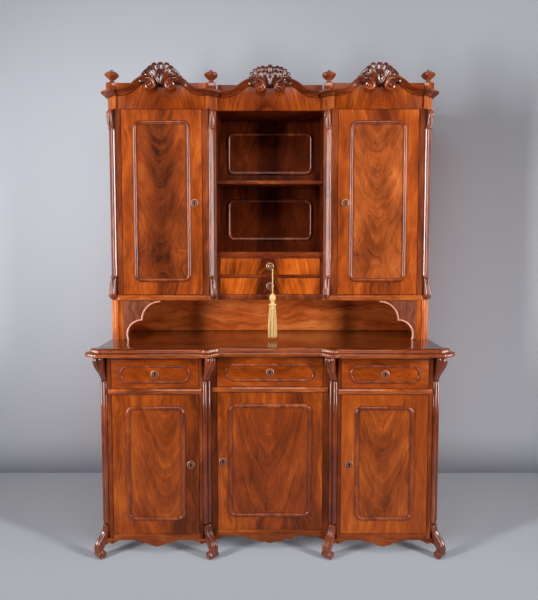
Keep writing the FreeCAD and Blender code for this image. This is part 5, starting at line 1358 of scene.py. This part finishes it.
# %% Arched mouldings
VOLUTE_RADIUS = 0.038
VOLUTE_TUBE = 0.0105
VOLUTE_STEPS = 42
VOLUTE_TURN = math.radians(-15)
VOLUTE_TAPER = (0.968, 0.988, 0.968)
VOLUTE_PLACE = (-0.050, ARCH_RISE - 0.020)
ARCH_SPANS = {"left": 0.2105, "centre": 0.230, "right": 0.2105}


def volute():
    """A spiral about the origin that tapers to its eye, facing the front. It starts at its top."""
    piece = disc("volute", 12, VOLUTE_TUBE, location=(0, -0.022, VOLUTE_RADIUS - VOLUTE_TUBE),
                 rotation=(0, math.pi / 2, 0))
    for step in range(VOLUTE_STEPS):
        extrude(0, 0, 0)
        bpy.ops.transform.rotate(value=VOLUTE_TURN, orient_axis="Y", center_override=(0, 0, 0))
        bpy.ops.transform.resize(value=VOLUTE_TAPER, center_override=(0, -0.016, 0))
    close(mend=False)
    eye = begin("eye", bpy.ops.mesh.primitive_uv_sphere_add, segments=14, ring_count=8, radius=0.0085,
                location=(0, -0.019, 0))
    close()
    return joined("volute", piece, eye)


for number, (place, span) in enumerate(ARCH_SPANS.items()):
    face = FRIEZE_FACES[place]
    half = half_arch(span, face)
    report(half)
    scroll = volute()
    scroll.data.transform(Matrix.Translation((VOLUTE_PLACE[0], face, ARCH_BOTTOM + VOLUTE_PLACE[1])))
    arch = joined(place + "_arched_moulding", half, twin_of(half, "arch_mirror", MIRROR), scroll,
                  twin_of(scroll, "volute_mirror", MIRROR))
    arch.data.transform(Matrix.Translation((BAYS[place], 0, 0)))
    dress(arch, "upper_case", "polished_mahogany", level_dark_wood,
          replaced=("arched_cornices",) * (number == 0))

# %% [markdown]
# ## Upper pilasters
# These are flatter than the ones below: a broad round shaft with hardly any relief. Each end is carved, with
# a ring, a drop with two beads and a leaf over it. The upper end is shorter and is modelled upside down, then
# turned over. The plan and the leaf are used again, so that one hand seems to have carved both cases.

# %% Ends of the upper pilasters
DEEP = -0.010
RING_STEPS = 8
LONG_DROP = ((1.146, 0.0100, DEEP, 0.020), (1.150, 0.0165, DEEP, 0.026), (1.160, 0.0215, DEEP, 0.031),
             (1.174, 0.0235, DEEP, 0.034), (1.190, 0.0205, DEEP, 0.033), (1.207, 0.0150, DEEP, 0.030),
             (1.225, 0.0095, DEEP, 0.027), (1.243, 0.0060, DEEP, 0.025), (1.250, 0.0040, DEEP, 0.024))
UPPER_DROP = ((1.1685, 0.006, BACK, 0.022), (1.172, 0.012, BACK, 0.027), (1.180, 0.0175, BACK, 0.031),
              (1.192, 0.0195, BACK, 0.033), (1.207, 0.0165, BACK, 0.032), (1.224, 0.0105, BACK, 0.028),
              (1.240, 0.006, BACK, 0.025), (1.250, 0.004, BACK, 0.024))


def swell(level, height, front, reach, width, grow):
    """The stations of a round collar that swells to the front and to both sides."""
    angles = [math.pi * number / RING_STEPS for number in range(RING_STEPS + 1)]
    return tuple((level + height * (1 - math.cos(angle)) / 2, front + reach * math.sin(angle), BACK,
                  width + grow * math.sin(angle)) for angle in angles)


def carved_end(name, drop_stations, leaf_length):
    """A ring, a drop below it and a leaf over the drop."""
    ring = pilaster_part("ring", swell(1.246, 0.015, 0.002, 0.007, 0.033, 0.003), HALF_ROUND, 0.010)
    drop = pilaster_part("drop", drop_stations, TWO_BEADS, 0.005, 2)
    leaf = twin_of(leaves["straight"], "leaf_over", Matrix.Translation((0, -0.0165, 1.252))
                   @ Matrix.Rotation(math.pi, 4, "Y") @ Matrix.Diagonal((0.026, 0.022, leaf_length, 1)))
    return joined(name, ring, drop, leaf)


lower_end = carved_end("lower_end", LONG_DROP, 0.090)
upper_end = carved_end("upper_end", UPPER_DROP, 0.074)
report(lower_end)

# %% Upper pilasters
CASE_MIDDLE = (1.168 + 2.045) / 2
UPPER_SHAFT = ((1.258, 0.001, DEEP, 0.032), (1.955, 0.001, DEEP, 0.032))
FLAT_ROUND = tuple((1 - 0.1 * share ** 2) * math.sqrt(1 - abs(share) ** 7)
                   for share in (2 * number / (ROUND_POINTS - 1) - 1 for number in range(ROUND_POINTS)))

shaft = pilaster_part("shaft", UPPER_SHAFT, FLAT_ROUND, 0.0085)
upper_end.data.transform(Matrix.Translation((0, 0, 2 * CASE_MIDDLE)) @ Matrix.Diagonal((1, 1, -1, 1)))
upper_end.data.flip_normals()
upper_pilaster = joined("upper_pilaster", shaft, lower_end, upper_end)
report(upper_pilaster)
set_copies(upper_pilaster, "_upper_pilaster", four_corners((0.7487, -0.0027), (0.279, -0.004)), "upper_case",
           shaft_wood, 50, ("upper_pilasters",))
for leaf in leaves.values():
    bpy.data.objects.remove(leaf)

# %% [markdown]
# ## Caps of the cornice
# Over each pilaster the cornice breaks forward in a cap. The construction gives it a plain slope, and this is
# the moulding on it: a plan that is extruded upwards level by level, with its open sides pushed out at each.
# A swept section would need a mitre at every corner, and here the corners keep themselves.

# %% Cornice caps
CAP_PLANS = {
    "outer": (((-0.776, 0.285), (-1, 0)), ((-0.776, 0.019), (-1, -0.414)), ((-0.727, -0.030), (-0.414, -1)),
              ((-0.722, -0.030), (0, -1)), ((-0.722, 0.285), (0, 0))),
    "inner": (((-0.301, -0.030), (0, -1)), ((-0.288, -0.030), (0.414, -1)), ((-0.246, 0.012), (1, -0.414)),
              ((-0.246, 0.017), (1, 0)), ((-0.301, 0.017), (0, 0))),
}
CAP_LEVELS = ((2.1065, 0.001), (2.1085, 0.0045), (2.1125, 0.0065), (2.117, 0.0115), (2.120, 0.0185),
              (2.1215, 0.021), (2.122, 0.0245), (2.131, 0.0255), (2.1335, 0.023))


def cap_corner(plan, number, proud):
    """A corner of a cap's plan, pushed out by an amount."""
    (x, y), (out_x, out_y) = plan[number]
    return Vector((x + proud * out_x, y + proud * out_y))


def make_cap(name, plan):
    """A cap over a plan whose open sides step out from level to level."""
    piece = disc(name, len(plan), 0.01, location=(0, 0, CAP_LEVELS[0][0]))
    start = [vertex.co.xy for vertex in bmesh.from_edit_mesh(piece.data).verts]
    for number in range(len(plan)):
        pick(piece, "VERT", lambda vertex: vertex.index == number)
        bpy.ops.transform.translate(value=(*(cap_corner(plan, number, CAP_LEVELS[0][1]) - start[number]), 0))
    for (level, proud), (next_level, next_proud) in zip(CAP_LEVELS, CAP_LEVELS[1:]):
        pick(piece, "FACE", lambda face: all(abs(vertex.co.z - level) < 1e-6 for vertex in face.verts))
        extrude(0, 0, next_level - level)
        for number in range(len(plan)):
            corner = cap_corner(plan, number, proud)
            pick(piece, "VERT", lambda vertex: (abs(vertex.co.z - next_level) < 1e-6
                                                and (vertex.co.xy - corner).length < 1e-5))
            bpy.ops.transform.translate(value=(*(cap_corner(plan, number, next_proud) - corner), 0))
    close()
    return piece


for place, plan in CAP_PLANS.items():
    left_cap = make_cap("left_" + place + "_cap", plan)
    for piece in (left_cap, twin_of(left_cap, "right_" + place + "_cap", MIRROR)):
        dress(piece, "upper_case", "polished_mahogany", post_dark, angle=30)
    report(left_cap)

# %% [markdown]
# ## Finials
# A finial is an eight-sided urn on a square block. It is not turned, so a lathe shape would be too round. An
# octagon is extruded from station to station and grows or shrinks at each, as its sides were planed.

# %% Finials
URN_PROFILE = ((0.0225, 0.0335), (0.0215, 0.0365), (0.0145, 0.042), (0.0092, 0.046), (0.0095, 0.049),
               (0.0130, 0.0515), (0.0178, 0.055), (0.0235, 0.060), (0.0292, 0.065), (0.0332, 0.070),
               (0.0343, 0.0745), (0.0328, 0.079), (0.0268, 0.084), (0.0180, 0.0885), (0.0105, 0.092),
               (0.0068, 0.0945), (0.0062, 0.0965), (0.0025, 0.099))
PEDESTAL_HALF, PEDESTAL_TOP = 0.023, 0.0335
finial_low, finial_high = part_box("finials")
inner_reach = [vertex.co.x for vertex in nodes["finials"].data.vertices if 0 < vertex.co.x < 0.5]
inner_x = (min(inner_reach) + max(inner_reach)) / 2
outer_x = finial_high[0] - (max(inner_reach) - inner_x)
finial_y = (finial_low[1] + finial_high[1]) / 2
finial_places = {"left_outer": -outer_x, "left_inner": -inner_x, "right_inner": inner_x,
                 "right_outer": outer_x}

urn = disc("urn", 8, URN_PROFILE[0][0], location=(0, 0, URN_PROFILE[0][1]), rotation=(0, 0, math.pi / 8))
raise_round(URN_PROFILE, Vector((0, 0, 0)))
close()
pedestal = block("pedestal", (-PEDESTAL_HALF, -PEDESTAL_HALF, 0),
                 (PEDESTAL_HALF, PEDESTAL_HALF, PEDESTAL_TOP))
pick(pedestal, "FACE", lambda face: face.normal.z > 0.9)
bpy.ops.mesh.inset(thickness=0.003, depth=0.0015)
close()
finial = joined("finial", urn, pedestal)
ease_edges(finial, 0.0008, limit=24)
report(finial)
finial_moves = {place: Matrix.Translation((x, finial_y, finial_low[2])) for place, x in finial_places.items()}
set_copies(finial, "_finial", finial_moves, "upper_case", bead_wood, 30, ("finials",))

# %% [markdown]
# ## Lock plates
# Round brass plates with a raised rim lie round every keyhole. The plates of the construction are flat discs,
# so each gets a rim laid over it: a disc whose front is inset in steps. The front points of a node give the
# place of its plate, so the rims follow the construction. The keyhole is painted shade: a dark iron plug.

# %% Lock plate
PLATE_RADIUS = 0.0176
PLATE_THICKNESS = 0.0010
RIM_STEPS = ((1.0, 0.7), (2.4, 0.3), (0.8, -1.5), (1.4, 0.0), (0.8, 0.9))
RIM_INSIDE, GROOVE_INSIDE = 0.0143, 0.0118
KEYHOLE_RADIUS = 0.0046
KEYHOLE_SHADE_DEPTH = 0.0008

plate = disc("plate", 40, PLATE_RADIUS, rotation=(math.pi / 2, 0, 0))
extrude(0, -PLATE_THICKNESS, 0)
inset_steps(RIM_STEPS)
plate_mesh = bmesh.from_edit_mesh(plate.data)
disc_front = min(vertex.co.y for vertex in plate_mesh.verts if vertex.co.xz.length < 0.012)
close()
for finish in (brass, iron_and_keyhole_shade, dull_brass):
    plate.data.materials.append(finish)
for face in plate.data.polygons:
    reach = max(plate.data.vertices[corner].co.xz.length for corner in face.vertices)
    face.material_index = 0 if reach > RIM_INSIDE else 1 if reach > GROOVE_INSIDE else 2
# The keyhole and its slot are thin dark plugs: painted shade where the hole would be.
hole = begin("keyhole", bpy.ops.mesh.primitive_cylinder_add, vertices=16, radius=KEYHOLE_RADIUS, depth=KEYHOLE_SHADE_DEPTH,
             location=(0, disc_front, 0.0022), rotation=(math.pi / 2, 0, 0))
close()
slot = begin("keyhole_slot", bpy.ops.mesh.primitive_cube_add, size=1, location=(0, disc_front, -0.0028),
             scale=(KEYHOLE_RADIUS, KEYHOLE_SHADE_DEPTH, 0.0105))
pick(slot, "VERT", lambda vertex: vertex.co.z < -0.005)
bpy.ops.transform.resize(value=(1.4, 1, 1))
close()
for piece in (hole, slot):
    piece.data.materials.append(iron_and_keyhole_shade)
plate = joined("lock_plate", plate, hole, slot)
report(plate)

# %% Lock plates in place
lock_nodes = [name for name in nodes if name.endswith("metalwork")]
for name in lock_nodes:
    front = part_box(name)[0][1]
    face = [vertex.co for vertex in nodes[name].data.vertices if vertex.co.y < front + 1e-4]
    x, z = ((min(c[axis] for c in face) + max(c[axis] for c in face)) / 2 for axis in (0, 2))
    copy = twin_of(plate, name.replace("metalwork", "lock_plate"), Matrix.Translation((x, front, z)))
    dress(copy, body_of(nodes[name])[0], "lock_metal")
bpy.data.objects.remove(plate)
print(len(lock_nodes), "lock plates")
